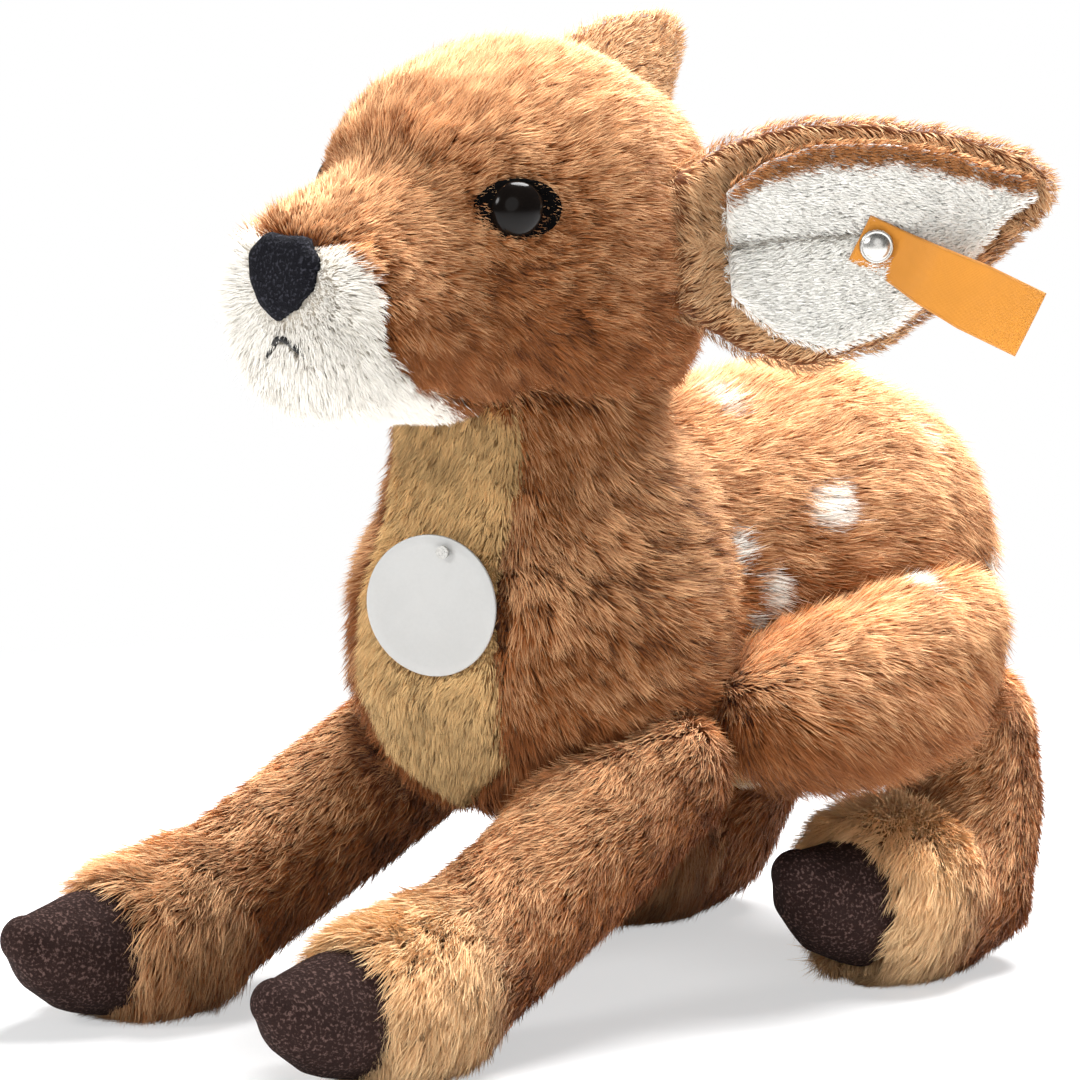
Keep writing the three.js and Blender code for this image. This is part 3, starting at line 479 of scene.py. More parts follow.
def roots_on(skin, count, seed, density, hidden):
    """Scattered root points on the seen faces of a skin, in toy millimetres, with the skin's normals."""
    mesh = bpy.data.objects[skin].data
    mesh.calc_loop_triangles()
    corners = numbers(mesh.loop_triangles, "vertices", 3, np.int32)
    places = toy_places(mesh)
    facing = numbers(mesh.vertices, "normal", 3)
    a, b, c = (places[corners[:, k]] for k in range(3))
    middles, flats = (a + b + c) / 3, np.cross(b - a, c - a)
    areas = np.linalg.norm(flats, axis=1) / 2
    flats = unit(flats)
    weight = areas * density(middles, flats)
    for k in np.nonzero(weight)[0]:
        point, normal = at(*map(float, middles[k])), Vector(map(float, flats[k]))
        if any(covered(tree, point, normal, reach) for tree, reach in hidden):
            weight[k] = 0
    chance = np.random.default_rng(seed)
    picked = chance.choice(len(weight), count, p=weight / weight.sum())
    u, v = chance.random((2, count, 1))
    over = (u + v) > 1
    u, v = np.where(over, 1 - u, u), np.where(over, 1 - v, v)
    trio = corners[picked]
    points, normals = (
        rows[trio[:, 0]] * (1 - u - v) + rows[trio[:, 1]] * u + rows[trio[:, 2]] * v
        for rows in (places, facing)
    )
    return points, unit(normals), chance


def everywhere(points, normals):
    """Pile of the same density on the whole skin."""
    return np.ones(len(points))


def nowhere(points):
    """A shade that no pile has."""
    return np.zeros(len(points))


# How pile lies where its part doesn't say otherwise: in clumps of cell millimetres that pull their blades
# together and ruffle them, with each blade's lower half tilted by lean degrees from the skin's normal and
# its upper half by lie degrees.
PLAIN_PILE = {
    "cell": 4.5, "pull": 0.5, "ruffle": 0.4, "lean": 30, "lie": 62,
    "density": everywhere, "pale": nowhere, "dark": nowhere,
}
# The pile of each part: its blades, fewer on the far side, where its random draws start, and how it lies; the
# width of a blade is in millimetres.
PILES = {
    "body": {
        "blades": {"near_front": 57000, "near_back": 57000, "far_front": 38000, "far_back": 42000},
        "seed": 11, "cell": 3.2, "pull": 0.3,
    },
    "thigh": {"blades": {"left": 44000, "right": 28000}, "seed": 21, "cell": 3.4, "pull": 0.34},
    "bib": {"blades": 30000, "seed": 31, "cell": 2.6, "pull": 0.2, "lean": 28, "lie": 58, "width": 0.3},
    "belly": {"blades": 10000, "seed": 32, "cell": 3.6, "pull": 0.4},
    "tail": {"blades": 7000, "seed": 33},
    "head": {
        "blades": {"near_front": 56000, "near_back": 42000, "far_front": 40000, "far_back": 30000},
        "seed": 41, "cell": 2.8, "pull": 0.25, "width": 0.3,
    },
    "muzzle": {"blades": 32000, "seed": 51, "cell": 2.4, "pull": 0.25, "lean": 26, "lie": 56, "width": 0.3},
    "ear": {
        "blades": {"left": 38000, "right": 26000},
        "seed": 61, "cell": 2.8, "pull": 0.25, "lean": 35, "lie": 66, "width": 0.27,
    },
    "lining": {
        "blades": {"left": 30000, "right": 20000},
        "seed": 71, "cell": 1.6, "pull": 0.1, "ruffle": 0.2, "lean": 35, "lie": 60, "width": 0.3,
    },
    "foot": {
        "blades": {"left": 32000, "right": 22000},
        "seed": 82, "cell": 3.9, "pull": 0.4, "lean": 32, "lie": 63,
    },
    "shank": {
        "blades": {"left": 50000, "right": 30000},
        "seed": 80, "cell": 2.8, "pull": 0.12, "lean": 48, "lie": 74,
    },
}
# What all pile shares: how far waves of a length in millimetres and chance turn the blades, the height of
# their bend as a share of their length, their widest twist in degrees and their lowest place over the floor.
SWIRL = 0.35
SWIRL_PERIOD = 31
STRAY = 0.16
BEND = 0.48
TWIST = 50
LOWEST = 0.25
# The four points of a blade in its cell of the map, and the corners of its two triangles.
LEAF_MAP = ((0.5, 0.1), (0.1, 0.48), (0.9, 0.48), (0.5, 0.9))
LEAF_CORNERS = (0, 2, 1, 1, 2, 3)


def pile_on(name, skin, part, length, comb, material, word="", step=0, hidden=(), **more):
    """Blades of pile on a skin, as one mesh of bent leaves; part and word are keys of PILES."""
    look = PLAIN_PILE | {"width": sizes().blade / MM} | PILES[part] | more
    blades = look["blades"][word] if word else look["blades"]
    count = blades * sizes().thickness // 100
    points, normals, chance = roots_on(skin, count, look["seed"] + step, look["density"], hidden)
    swirl = np.stack([waves(points, SWIRL_PERIOD, k) for k in (0.3, 1.9, 4.1)], 1)
    way = along_skin(comb(points, normals), normals) + swirl * SWIRL
    centre, mark = clumps(points, look["cell"])
    way += (CHANCES[(mark * (len(CHANCES) - 1)).astype(int), :3] - 0.5) * look["ruffle"]
    way = along_skin(way, normals)
    side = np.cross(normals, way)
    way = unit(way + side * chance.normal(0, STRAY, (count, 1)))
    tall = length(points) if callable(length) else np.full(count, length)
    tall = tall * (0.88 + 0.2 * mark) * chance.normal(1, 0.1, count).clip(0.6, 1.25)
    tall = tall[:, None]
    tilt = np.radians(look["lean"] + chance.normal(0, 7, (count, 1)) + 10 * (mark[:, None] - 0.5))
    rest = np.radians(look["lie"] + chance.normal(0, 8, (count, 1)) + 14 * (mark[:, None] - 0.5))
    rise = unit(normals * np.cos(tilt) + way * np.sin(tilt))
    fall = unit(normals * np.cos(rest) + way * np.sin(rest))
    inward = centre - points
    inward -= normals * (inward * normals).sum(1, keepdims=True)
    middle = points + rise * tall * BEND + inward * look["pull"] * 0.3
    tip = middle + fall * tall * (1 - BEND) + inward * look["pull"] * 0.6
    stem = unit(tip - points)
    across = unit(np.cross(stem, normals))
    twist = np.radians(chance.uniform(-TWIST, TWIST, (count, 1)))
    across = across * np.cos(twist) + np.cross(stem, across) * np.sin(twist)
    half = across * (look["width"] / 2)
    flip = ((np.cross(half, stem) * normals).sum(1, keepdims=True)) > 0
    half = np.where(flip, half, -half)
    leaf = np.stack([points, middle - half, middle + half, tip], 1)
    leaf[:, :, 2] = np.maximum(leaf[:, :, 2], LOWEST)
    spread = points + chance.normal(0, 0.8, points.shape)
    luck = chance.random(count)
    shades = np.zeros((count, 4, 4), np.float32)
    shades[:, :, 0] = (0.0, BEND, BEND, 1.0)
    # Chance: a random tone per clump and blade, plus painted light from above that lightens blades where the
    # skin faces up.
    shades[:, :, 1] = (0.35 * mark + 0.3 * luck + 0.55 * normals[:, 2].clip(-0.4, 1))[:, None]
    shades[:, :, 2] = np.clip(1.6 * look["pale"](spread) - 0.6 * luck, 0, 1)[:, None]
    # Dark blades: dark pile on the cheeks and round the eyes, painted shade on the flanks and in the ear
    # creases.
    dusk = look["dark"](spread) > 0.4 * mark + 0.6 * chance.random(count)
    shades[:, :, 3] = (0.8 * dusk)[:, None]
    return leaves(name, leaf * MM + np.array(MIDDLE), shades, material)


def leaves(name, leaf, shades, material):
    """The mesh of many leaves of four points, with their shades and a cell of the map for each."""
    count = len(leaf)
    mesh = bpy.data.meshes.new(name)
    mesh.vertices.add(count * 4)
    mesh.vertices.foreach_set("co", leaf.astype(np.float32).ravel())
    corners = (np.arange(count)[:, None] * 4 + np.array(LEAF_CORNERS)).ravel()
    mesh.loops.add(count * 6)
    mesh.loops.foreach_set("vertex_index", corners.astype(np.int32))
    mesh.polygons.add(count * 2)
    mesh.polygons.foreach_set("loop_start", np.arange(0, count * 6, 3, dtype=np.int32))
    mesh.update(calc_edges=True)
    held = mesh.color_attributes.new("pile", "FLOAT_COLOR", "POINT")
    held.data.foreach_set("color", shades.ravel())
    grid = math.ceil(math.sqrt(count))
    cell = np.stack([np.arange(count) % grid, np.arange(count) // grid], 1)[:, None]
    flat = ((cell + np.array(LEAF_MAP)[None]) / grid).reshape(-1, 2)[corners]
    mesh.uv_layers.new(name="OFBake").data.foreach_set("uv", flat.astype(np.float32).ravel())
    piece = bpy.data.objects.new(name, mesh)
    bpy.context.scene.collection.objects.link(piece)
    return finished(piece, material, smooth=False)


# Frames on the head before it turns: a place, then the ways along, up and towards the front. An ear's place
# is the middle of its seam.
EARS = {
    "left": ((39.8, 10.7, 183.5), (0.694, 0.718, 0.052), (-0.036, -0.038, 0.999), (0.719, -0.695, 0)),
    "right": ((-35.4, 20.4, 183.5), (-0.164, 0.931, 0.326), (0.057, -0.321, 0.946), (-0.985, -0.174, 0)),
}
LABEL = ((70.7, 44.9, 182.9), (0.624, 0.647, -0.438), (0.304, 0.315, 0.899), (0.719, -0.695, 0))
BUTTON = (71.5, 44.1, 182.9)
TAG = ((10.4, -43.1, 100.1), (0.895, 0.373, -0.244), (0.216, 0.116, 0.97), (0.39, -0.92, 0.024))
# The middle of the left eye on the head, and the way that it faces.
EYE = (30.5, -33.9, 195.0)
EYE_FACING = (0.905, -0.424, 0.025)
NOSE = (0, -80.0, 181.0)
# The edge of the white pile on the muzzle and jaw: level, and place along the head.
WHITE_EDGE = (
    (140, -25), (146, -33), (151, -45), (156, -57), (162, -64), (168, -67), (176, -68), (184, -72), (192, -80)
)


def frame_of(spot, along, up, front, turned=True):
    """A frame typed in toy millimetres as a matrix in metres, turned with the head if it is on it."""
    turn = Matrix.Rotation(HEAD_TURN, 3, "Z") if turned else Matrix.Identity(3)
    axes = Matrix((along, up, front)).transposed()
    place = head_point(*spot) if turned else Vector(spot)
    return Matrix.Translation(at(*place)) @ (turn @ axes).to_4x4() @ Matrix.Scale(MM, 4)


def new_operator(name):
    """The part of an operator's id after its group."""
    return "fawn." + name


def near_to(points, spot, radii):
    """1 at a spot, falling to 0 at radii from it."""
    gap = np.sqrt((((points - np.array(spot)) / np.array(radii)) ** 2).sum(1))
    return np.clip(1.6 - 1.6 * gap, 0, 1) ** 0.7


# White spots on the coat: place and radii in toy millimetres. The far side's are guessed.
SPOTS = [
    ((30, 28.8, 107.1), (7, 5, 8)),
    ((32, 33.7, 88), (7, 4, 7)),
    ((33, 39, 98), (7, 4.8, 6)),
    ((34, 57, 115), (8, 7.5, 6.5)),
    ((12, 44.6, 139), (10, 7, 6)),
    ((27, 98, 129), (7, 5, 6)),
    ((42, 77, 93), (9, 5.5, 5)),
    ((29, 119, 97), (7, 6, 3.5)),
    ((-31, 30, 104), (7, 5, 8)),
    ((-34, 46, 118), (7, 6, 6)),
    ((-33, 62, 104), (7, 5, 6)),
    ((-31, 86, 119), (7, 6, 6)),
    ((-14, 66, 143), (7, 6, 6)),
    ((-32, 104, 103), (7, 5, 5)),
    ((6, 96, 140), (7, 7, 6)),
    ((-8, 30, 143), (6, 6, 6)),
]


# Dark pile: its share, and its middle and radii in toy millimetres, on both sides of the toy; on the flanks
# it is painted shade.
FLANK_PAINTED_SHADE = (0.3, (38, 4, 98), (30, 40, 44))
CHEEK_DUSK = (0.3, (32, -22, 172), (30, 42, 26))
EYE_DUSK = (0.22, EYE, (14, 14, 11))
# The pile at the card tag: its least share, and the millimetres from the tag's middle where it starts to
# grow and is fully long.
TAG_CLEARING = {"body": (0.3, 17, 22), "bib": (0.3, 16, 20)}
# Places from front to back that split the body's and the head's pile into pieces.
BODY_SPLIT, HEAD_SPLIT = 30, -8
# Where the head's pile parts, and places inside the bib, the belly and the muzzle that their pile faces away
# from; the first and the last are on the head.
PARTING = (0, -83, 184)
BIB_MIDDLE, BELLY_MIDDLE, MUZZLE_MIDDLE = (0, 10, 100), (0, 56, 95), (0, -48, 174)
# How much longer the pile gets low on the thighs, on the jaw and on the far side of the muzzle.
THIGH_FRINGE, JAW_FRINGE, FAR_FRINGE = 9, 1.5, 5


def spots(points):
    """How white the coat is."""
    wander = points + np.stack([waves(points, 9, k) for k in (0.0, 2.0, 4.0)], 1) * 1.2
    return np.max([near_to(wander, spot, radii) for spot, radii in SPOTS], axis=0)


def jaw_white(points):
    """How white the head's pile is."""
    ahead = points[:, 1] + 4 - points[:, 0] * HEAD_TURN
    edge = np.interp(points[:, 2], *zip(*WHITE_EDGE)) + waves(points, 8) * 0.8
    return np.clip((edge - ahead) / 1.6 + 0.5, 0, 1)


def kept_short(long, spot, least, start, end):
    """A length that falls to a least share of itself from end to start millimetres from a spot."""
    return lambda points: long * (least + (1 - least) * ramp(distance(points, spot), start, end))


def towards(x, y, z):
    """A comb that lays all the pile one way."""
    return lambda points, normals: np.tile(unit(np.array([[x, y, z]], float)), (len(points), 1))


def outward_of(spot, least):
    """A density of 1 where the skin faces away from a spot."""
    return lambda points, normals: (unit(points - np.array(spot)) * normals).sum(1) > least


def quarter(word, limit):
    """A density of 1 on the near or far side of the toy, in front of a limit or behind it."""
    side, end = word.split("_")

    def density(points, normals):
        near, front = points[:, 0] > 0, points[:, 1] < limit
        return (near if side == "near" else ~near) & (front if end == "front" else ~front)

    return density


def eye_place(side):
    """The middle of an eye in toy millimetres."""
    return np.array(head_point(side * EYE[0], *EYE[1:]))


def laid(pieces, body):
    """Makes pieces of pile ride with a body."""
    for piece in pieces:
        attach(piece, body)


def toy_places(mesh):
    """The points of a mesh in toy millimetres."""
    return (numbers(mesh.vertices, "co", 3) - np.array(MIDDLE)) / MM


# Lamps: place in toy millimetres, width in metres and power in watts; all aim at one place.
LAMPS = {
    "top_lamp": ((-50, 420, 1150), 0.8, 54.0),
    "front_lamp": ((-100, -1200, 750), 0.4, 8.5),
    "side_lamp": ((1100, -700, 500), 0.9, 2.5),
}
LAMP_AIM = (0, 20, 100)
# Light that the world throws on the toy, and how bright the camera sees it.
WORLD_LIGHT = (0.19, 1.0)
# The camera: what it aims at, its angles round from the front and up, its metres away and its lens.
CAMERA_AIM = (0, 0, 109.5)
CAMERA_SIDE = math.radians(48)
CAMERA_HIGH = math.radians(9.5)
CAMERA_FAR = 2
CAMERA_LENS = 280


class FAWN_OT_stage(bpy.types.Operator):
    """Floor, lamps, world and camera."""

    bl_idname = new_operator("stage")
    bl_label = "Stage"

    def execute(self, context):
        scene = context.scene
        scene.view_settings.view_transform = "Standard"
        self.floor()
        scene.world = self.world()
        for name, (spot, width, power) in LAMPS.items():
            lamp = bpy.data.lights.new(name, "AREA")
            lamp.shape, lamp.size, lamp.energy = "DISK", width, power
            self.aimed(name, lamp, at(*spot), at(*LAMP_AIM) - at(*spot))
        level = math.cos(CAMERA_HIGH)
        back = Vector((level * math.sin(CAMERA_SIDE), -level * math.cos(CAMERA_SIDE), math.sin(CAMERA_HIGH)))
        view = bpy.data.cameras.new("view")
        view.lens, view.sensor_width, view.clip_end = CAMERA_LENS, 36, 60
        scene.camera = self.aimed("view", view, at(*CAMERA_AIM) + back * CAMERA_FAR, -back)
        return {"FINISHED"}

    def aimed(self, name, held, place, way):
        """A lamp or camera in the scene, at a place and facing one way."""
        holder = bpy.data.objects.new(name, held)
        bpy.context.scene.collection.objects.link(holder)
        holder.location = place
        holder.rotation_euler = way.to_track_quat("-Z", "Y").to_euler()
        return holder

    def floor(self):
        """White paper that glows more and more away from the toy, so that its edge isn't seen."""
        shape = bmesh.new()
        bmesh.ops.create_grid(shape, x_segments=8, y_segments=8, size=8)
        paper = Finish("studio_paper", 0.95)
        paper.set(Base_Color=paper.mix(paper.noise(0.003, 2), (0.90, 0.90, 0.905), (0.93, 0.93, 0.93)))
        far = paper.node("VectorMath", {0: paper.place()}, operation="LENGTH")["Value"]
        share = (far.step(0.16, 0.5) * 0.45 + 0.55) * paper.node("LightPath")["Is Camera Ray"]
        glow = paper.node("Emission", {"Color": (1, 1, 1), "Strength": 1.0})["Emission"]
        plain = Value(paper, paper.shader.outputs[0])
        seen = paper.node("MixShader", {"Fac": share, 1: plain, 2: glow})["Shader"]
        paper.plug(paper.tree.nodes["Material Output"].inputs["Surface"], seen)
        finished(piece_from("floor", shape), paper.material)

    def world(self):
        """A white world that the camera sees brighter than the toy does."""
        world = bpy.data.worlds.new("studio")
        world.use_nodes = True
        tree = world.node_tree
        back = tree.nodes["Background"]
        paths = tree.nodes.new("ShaderNodeLightPath")
        level = tree.nodes.new("ShaderNodeMapRange")
        level.inputs["To Min"].default_value, level.inputs["To Max"].default_value = WORLD_LIGHT
        tree.links.new(paths.outputs["Is Camera Ray"], level.inputs["Value"])
        tree.links.new(level.outputs["Result"], back.inputs["Strength"])
        back.inputs["Color"].default_value = (1, 1, 1, 1)
        return world


def stands_for(piece, body, nodes):
    """Makes a piece ride a body, where it has one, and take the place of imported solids."""
    if body:
        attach(piece, body)
    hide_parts(*nodes)
    return piece


def stuffed_skin(name, body, nodes, material):
    """A skin that is stuffed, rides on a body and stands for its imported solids."""
    size = sizes()
    piece = skin_of(name, nodes, size.voxel, size.sink)
    finished(plumped(piece, size.plump_cap), material)
    return stands_for(piece, body, nodes)


def panel_skin(name, body, nodes, material, sink=0.3, voxel=1.0, rounds=4):
    """A thin sewn panel: a smooth skin that isn't stuffed by itself."""
    piece = finished(skin_of(name, nodes, voxel * MM, sink * MM, rounds), material)
    return stands_for(piece, body, nodes)


def swelled(piece, most, share):
    """Pushes a skin out by a share of most millimetres at each place."""
    places = toy_places(piece.data)
    facing = numbers(piece.data.vertices, "normal", 3)
    moved = places + facing * (most * share(places, facing))[:, None]
    piece.data.vertices.foreach_set("co", (moved * MM + np.array(MIDDLE)).astype(np.float32).ravel())


# Millimetres by which the undersides of the thighs and the tops of the hind feet are pushed out.
THIGH_SWELL = 4
FOOT_SWELL = 5.5
# The ear lining in millimetres: the crease's depth and half width, how far from it the lobes are highest,
# their rise and half width, where along the ear the crease has faded out and where it is whole, and how far
# from the ear's seam it starts.
CREASE_DEPTH, CREASE_WIDTH = 2.1, 2.6
LOBE_PLACE, LOBE_RISE, LOBE_WIDTH = 11, 1.8, 7.5
CREASE_REACH = (62, 36)
SEAM_REACH = 8
# Half widths of an eye's dome and its rise, and one ring after another of the ear button's outline, as
# millimetres from its axis and above its seat.
DOME = (6.8, 6.8, 4.1)
BUTTON_RINGS = (
    (0.01, 2.0), (1.4, 1.88), (2.5, 1.5), (3.1, 1.05), (3.3, 0.95), (3.6, 1.15), (3.95, 0.95), (4.1, 0.45),
    (4.0, -0.1), (3.4, -0.5), (0.01, -0.5),
)
# The woven label in millimetres: length, width, how far it rises off its button, and thickness.
LABEL_LONG, LABEL_WIDE, LABEL_RISE, LABEL_THICK = 44, 16.5, 10.5, 0.7
# The card tag in millimetres: radius, thickness, how far its sides curl, its rim and its edge's rounding.
CARD_RADIUS, CARD_THICK, CARD_CURL, CARD_RIM, CARD_EDGE = 16.75, 0.9, 0.9, 1.2, 0.25


class FAWN_OT_body(bpy.types.Operator):
    """Skins of the body, the thighs, the bib, the belly and the tail."""

    bl_idname = new_operator("body")
    bl_label = "Body"

    def execute(self, context):
        knit = skin_finish("brown_backing", deeper(colours().fur, 0.5))
        cream = skin_finish("cream_backing", colours().bib_root)
        stuffed_skin("body_skin", "torso", ["torso_cover", "torso_filling"], knit)
        for word in SIDES:
            nodes = [f"thigh_{word}_cover", f"thigh_{word}_filling"]
            thigh = stuffed_skin(f"thigh_{word}_skin", "torso", nodes, knit)
            swelled(thigh, THIGH_SWELL, self.under)
        stuffed_skin("tail_skin", "tail", ["tail"], knit)
        panel_skin("bib_skin", "torso", ["chest_bib"], cream, voxel=1.5)
        panel_skin("belly_skin", "torso", ["belly_panel"], cream, voxel=1.5)
        return {"FINISHED"}

    def under(self, places, facing):
        """1 on the underside of a thigh."""
        return np.clip(-facing[:, 2], 0, 1) * ramp(places[:, 2], 84, 72)


class FAWN_OT_head(bpy.types.Operator):
    """Skins of the head and of the white muzzle."""

    bl_idname = new_operator("head")
    bl_label = "Head"

    def execute(self, context):
        knit = skin_finish("head_backing", deeper(colours().fur, 0.5))
        white = skin_finish("white_backing", colours().spot_root)
        stuffed_skin("head_skin", "head", ["head_cover", "head_filling"], knit)
        panel_skin("muzzle_skin", "head", ["muzzle_cover"], white, voxel=1.4)
        return {"FINISHED"}


class FAWN_OT_ears(bpy.types.Operator):
    """Backs and linings of the ears; each lining has two lobes and a fold between them."""

    bl_idname = new_operator("ears")
    bl_label = "Ears"

    def execute(self, context):
        knit = skin_finish("ear_backing", deeper(colours().fur, 0.6))
        nap = skin_finish("lining_backing", colours().lining)
        for word in SIDES:
            body = f"ear_{word}"
            back = [f"ear_{word}_back"]
            panel_skin(f"ear_{word}_skin", body, back, knit, sink=0.4, voxel=1.5)
            lining = panel_skin(f"ear_{word}_nap", body, [f"ear_{word}_lining"], nap, sink=0.2)
            self.fold(lining, frame_of(*EARS[word]))
        return {"FINISHED"}

    def fold(self, lining, seat):
        """Presses the fold into a lining and swells the lobe on each side of it."""
        back = seat.inverted()
        toward = seat.to_3x3().col[2].normalized()
        for vert in lining.data.vertices:
            reach, high, _ = back @ vert.co
            high -= crease_height(reach)
            fade = float(ramp(reach, *CREASE_REACH)) * min(1.0, reach / SEAM_REACH)
            press = math.exp(-((high / CREASE_WIDTH) ** 2)) * CREASE_DEPTH
            lobes = (math.exp(-(((high - k) / LOBE_WIDTH) ** 2)) for k in (LOBE_PLACE, -LOBE_PLACE))
            vert.co += toward * (sum(lobes) * LOBE_RISE - press) * fade * MM


def crease_height(reach):
    """The height of an ear's crease at a place along the ear, in millimetres."""
    return -1.5 + 0.02 * reach


class FAWN_OT_legs(bpy.types.Operator):
    """Skins of the four legs."""

    bl_idname = new_operator("legs")
    bl_label = "Legs"

    def execute(self, context):
        knit = skin_finish("leg_backing", deeper(colours().fur, 0.75))
        for word, pair in itertools.product(SIDES, ("front", "hind")):
            leg = f"{pair}_leg_{word}"
            skin = stuffed_skin(f"{leg}_skin", "", [f"{leg}_cover", f"{leg}_filling"], knit)
            if pair == "hind":
                swelled(skin, FOOT_SWELL, self.foot_top(toe_of(leg)))
            bend_at_seam(skin)
        return {"FINISHED"}

    def foot_top(self, toe):
        """A share of 1 on the top of a hind foot, behind its hoof."""
        return lambda places, facing: (
            ramp(distance(places, toe), 46, 30)
            * np.clip(facing[:, 2] + 0.4, 0, 1)
            * ramp(places[:, 1], toe[1] - 4, toe[1] + 4)
        )


def toe_of(leg):
    """The middle of a leg's hoof in toy millimetres."""
    low, high = map(Vector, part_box(f"{leg}_hoof"))
    return np.array(((low + high) / 2 - MIDDLE) / MM)


def bend_at_seam(piece):
    """Bakes a leg piece's placement into its mesh."""
    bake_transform(piece)


class FAWN_OT_hooves(bpy.types.Operator):
    """Velour hooves."""

    bl_idname = new_operator("hooves")
    bl_label = "Hooves"

    def execute(self, context):
        cloth = velour("hoof_velour", colours().hoof, linear(112, 88, 82))
        for word, pair in itertools.product(SIDES, ("front", "hind")):
            leg = f"{pair}_leg_{word}"
            hoof = [f"{leg}_hoof"]
            panel_skin(f"{leg}_velour", leg, hoof, cloth, sink=-0.4, voxel=0.9, rounds=14)
        return {"FINISHED"}


class FAWN_OT_eyes(bpy.types.Operator):
    """Glossy domed eyes on felt patches."""

    bl_idname = new_operator("eyes")
    bl_label = "Eyes"

    def execute(self, context):
        gloss = Finish("eye_gloss", 0.14, Specular_IOR_Level=0.13)
        depth = gloss.noise(0.004, 2)
        gloss.set(Base_Color=gloss.mix(depth, (0.002, 0.0015, 0.0015), (0.006, 0.004, 0.003)))
        tint = colours().felt
        felt = grained(
            "eye_felt", tint, deeper(tint, 0.4), period=0.0007, depth=0.0003, roughness=0.95,
            Specular_IOR_Level=0.03,
        )
        for word, side in SIDES.items():
            facing = Vector((side * EYE_FACING[0], *EYE_FACING[1:])).normalized()
            along = Vector((0, 0, 1)).cross(facing).normalized()
            seat = frame_of((side * EYE[0], *EYE[1:]), along, facing.cross(along), facing)
            shape = bmesh.new()
            bmesh.ops.create_uvsphere(shape, u_segments=48, v_segments=24, radius=1)
            bmesh.ops.scale(shape, verts=shape.verts, vec=DOME)
            bmesh.ops.transform(shape, matrix=seat, verts=shape.verts)
            dome = finished(piece_from(f"eye_{word}_dome", shape), gloss.material)
            stands_for(dome, "head", [f"eye_{word}"])
            patch = [f"eye_patch_{word}"]
            panel_skin(f"eye_{word}_felt", "head", patch, felt, sink=0.1, voxel=0.6)
        return {"FINISHED"}


class FAWN_OT_nose(bpy.types.Operator):
    """Velour nose and the stitched mouth."""

    bl_idname = new_operator("nose")
    bl_label = "Nose and mouth"

    def execute(self, context):
        cloth = velour("nose_velour", colours().nose, linear(62, 62, 70))
        panel_skin("nose_tip", "head", ["nose"], cloth, sink=-1.1, voxel=0.7, rounds=6)
        black = (0.002, 0.002, 0.002)
        thread = grained(
            "mouth_thread", linear(22, 20, 20), black, period=0.0004, depth=0.0002, roughness=0.7
        )
        panel_skin("mouth_thread", "head", ["mouth_stitch"], thread, sink=-0.3, voxel=0.3)
        return {"FINISHED"}


class FAWN_OT_ear_button(bpy.types.Operator):
    """Plain domed metal button in the left ear."""

    bl_idname = new_operator("ear_button")
    bl_label = "Ear button"

    def execute(self, context):
        tint = colours().nickel
        metal = grained(
            "nickel", tint, deeper(tint, 0.8), period=0.0005, depth=0.00003, roughness=0.28, Metallic=1.0
        )
        seat = frame_of(BUTTON, *EARS["left"][1:])
        shape = bmesh.new()
        verts = [shape.verts.new((r, 0, h)) for r, h in BUTTON_RINGS]
        edges = [shape.edges.new(pair) for pair in zip(verts, verts[1:])]
        turn = {"axis": (0, 0, 1), "cent": (0, 0, 0), "angle": 2 * math.pi, "steps": 48}
        bmesh.ops.spin(shape, geom=verts + edges, use_merge=True, **turn)
        bmesh.ops.remove_doubles(shape, verts=shape.verts, dist=0.02)
        bmesh.ops.recalc_face_normals(shape, faces=shape.faces)
        bmesh.ops.transform(shape, matrix=seat, verts=shape.verts)
        cap = piece_from("ear_button_cap", shape)
        finer = cap.modifiers.new("finer", "SUBSURF")
        finer.levels = finer.render_levels = 1
        stands_for(finished(applied(cap), metal), "ear_left", ["ear_button"])
        return {"FINISHED"}


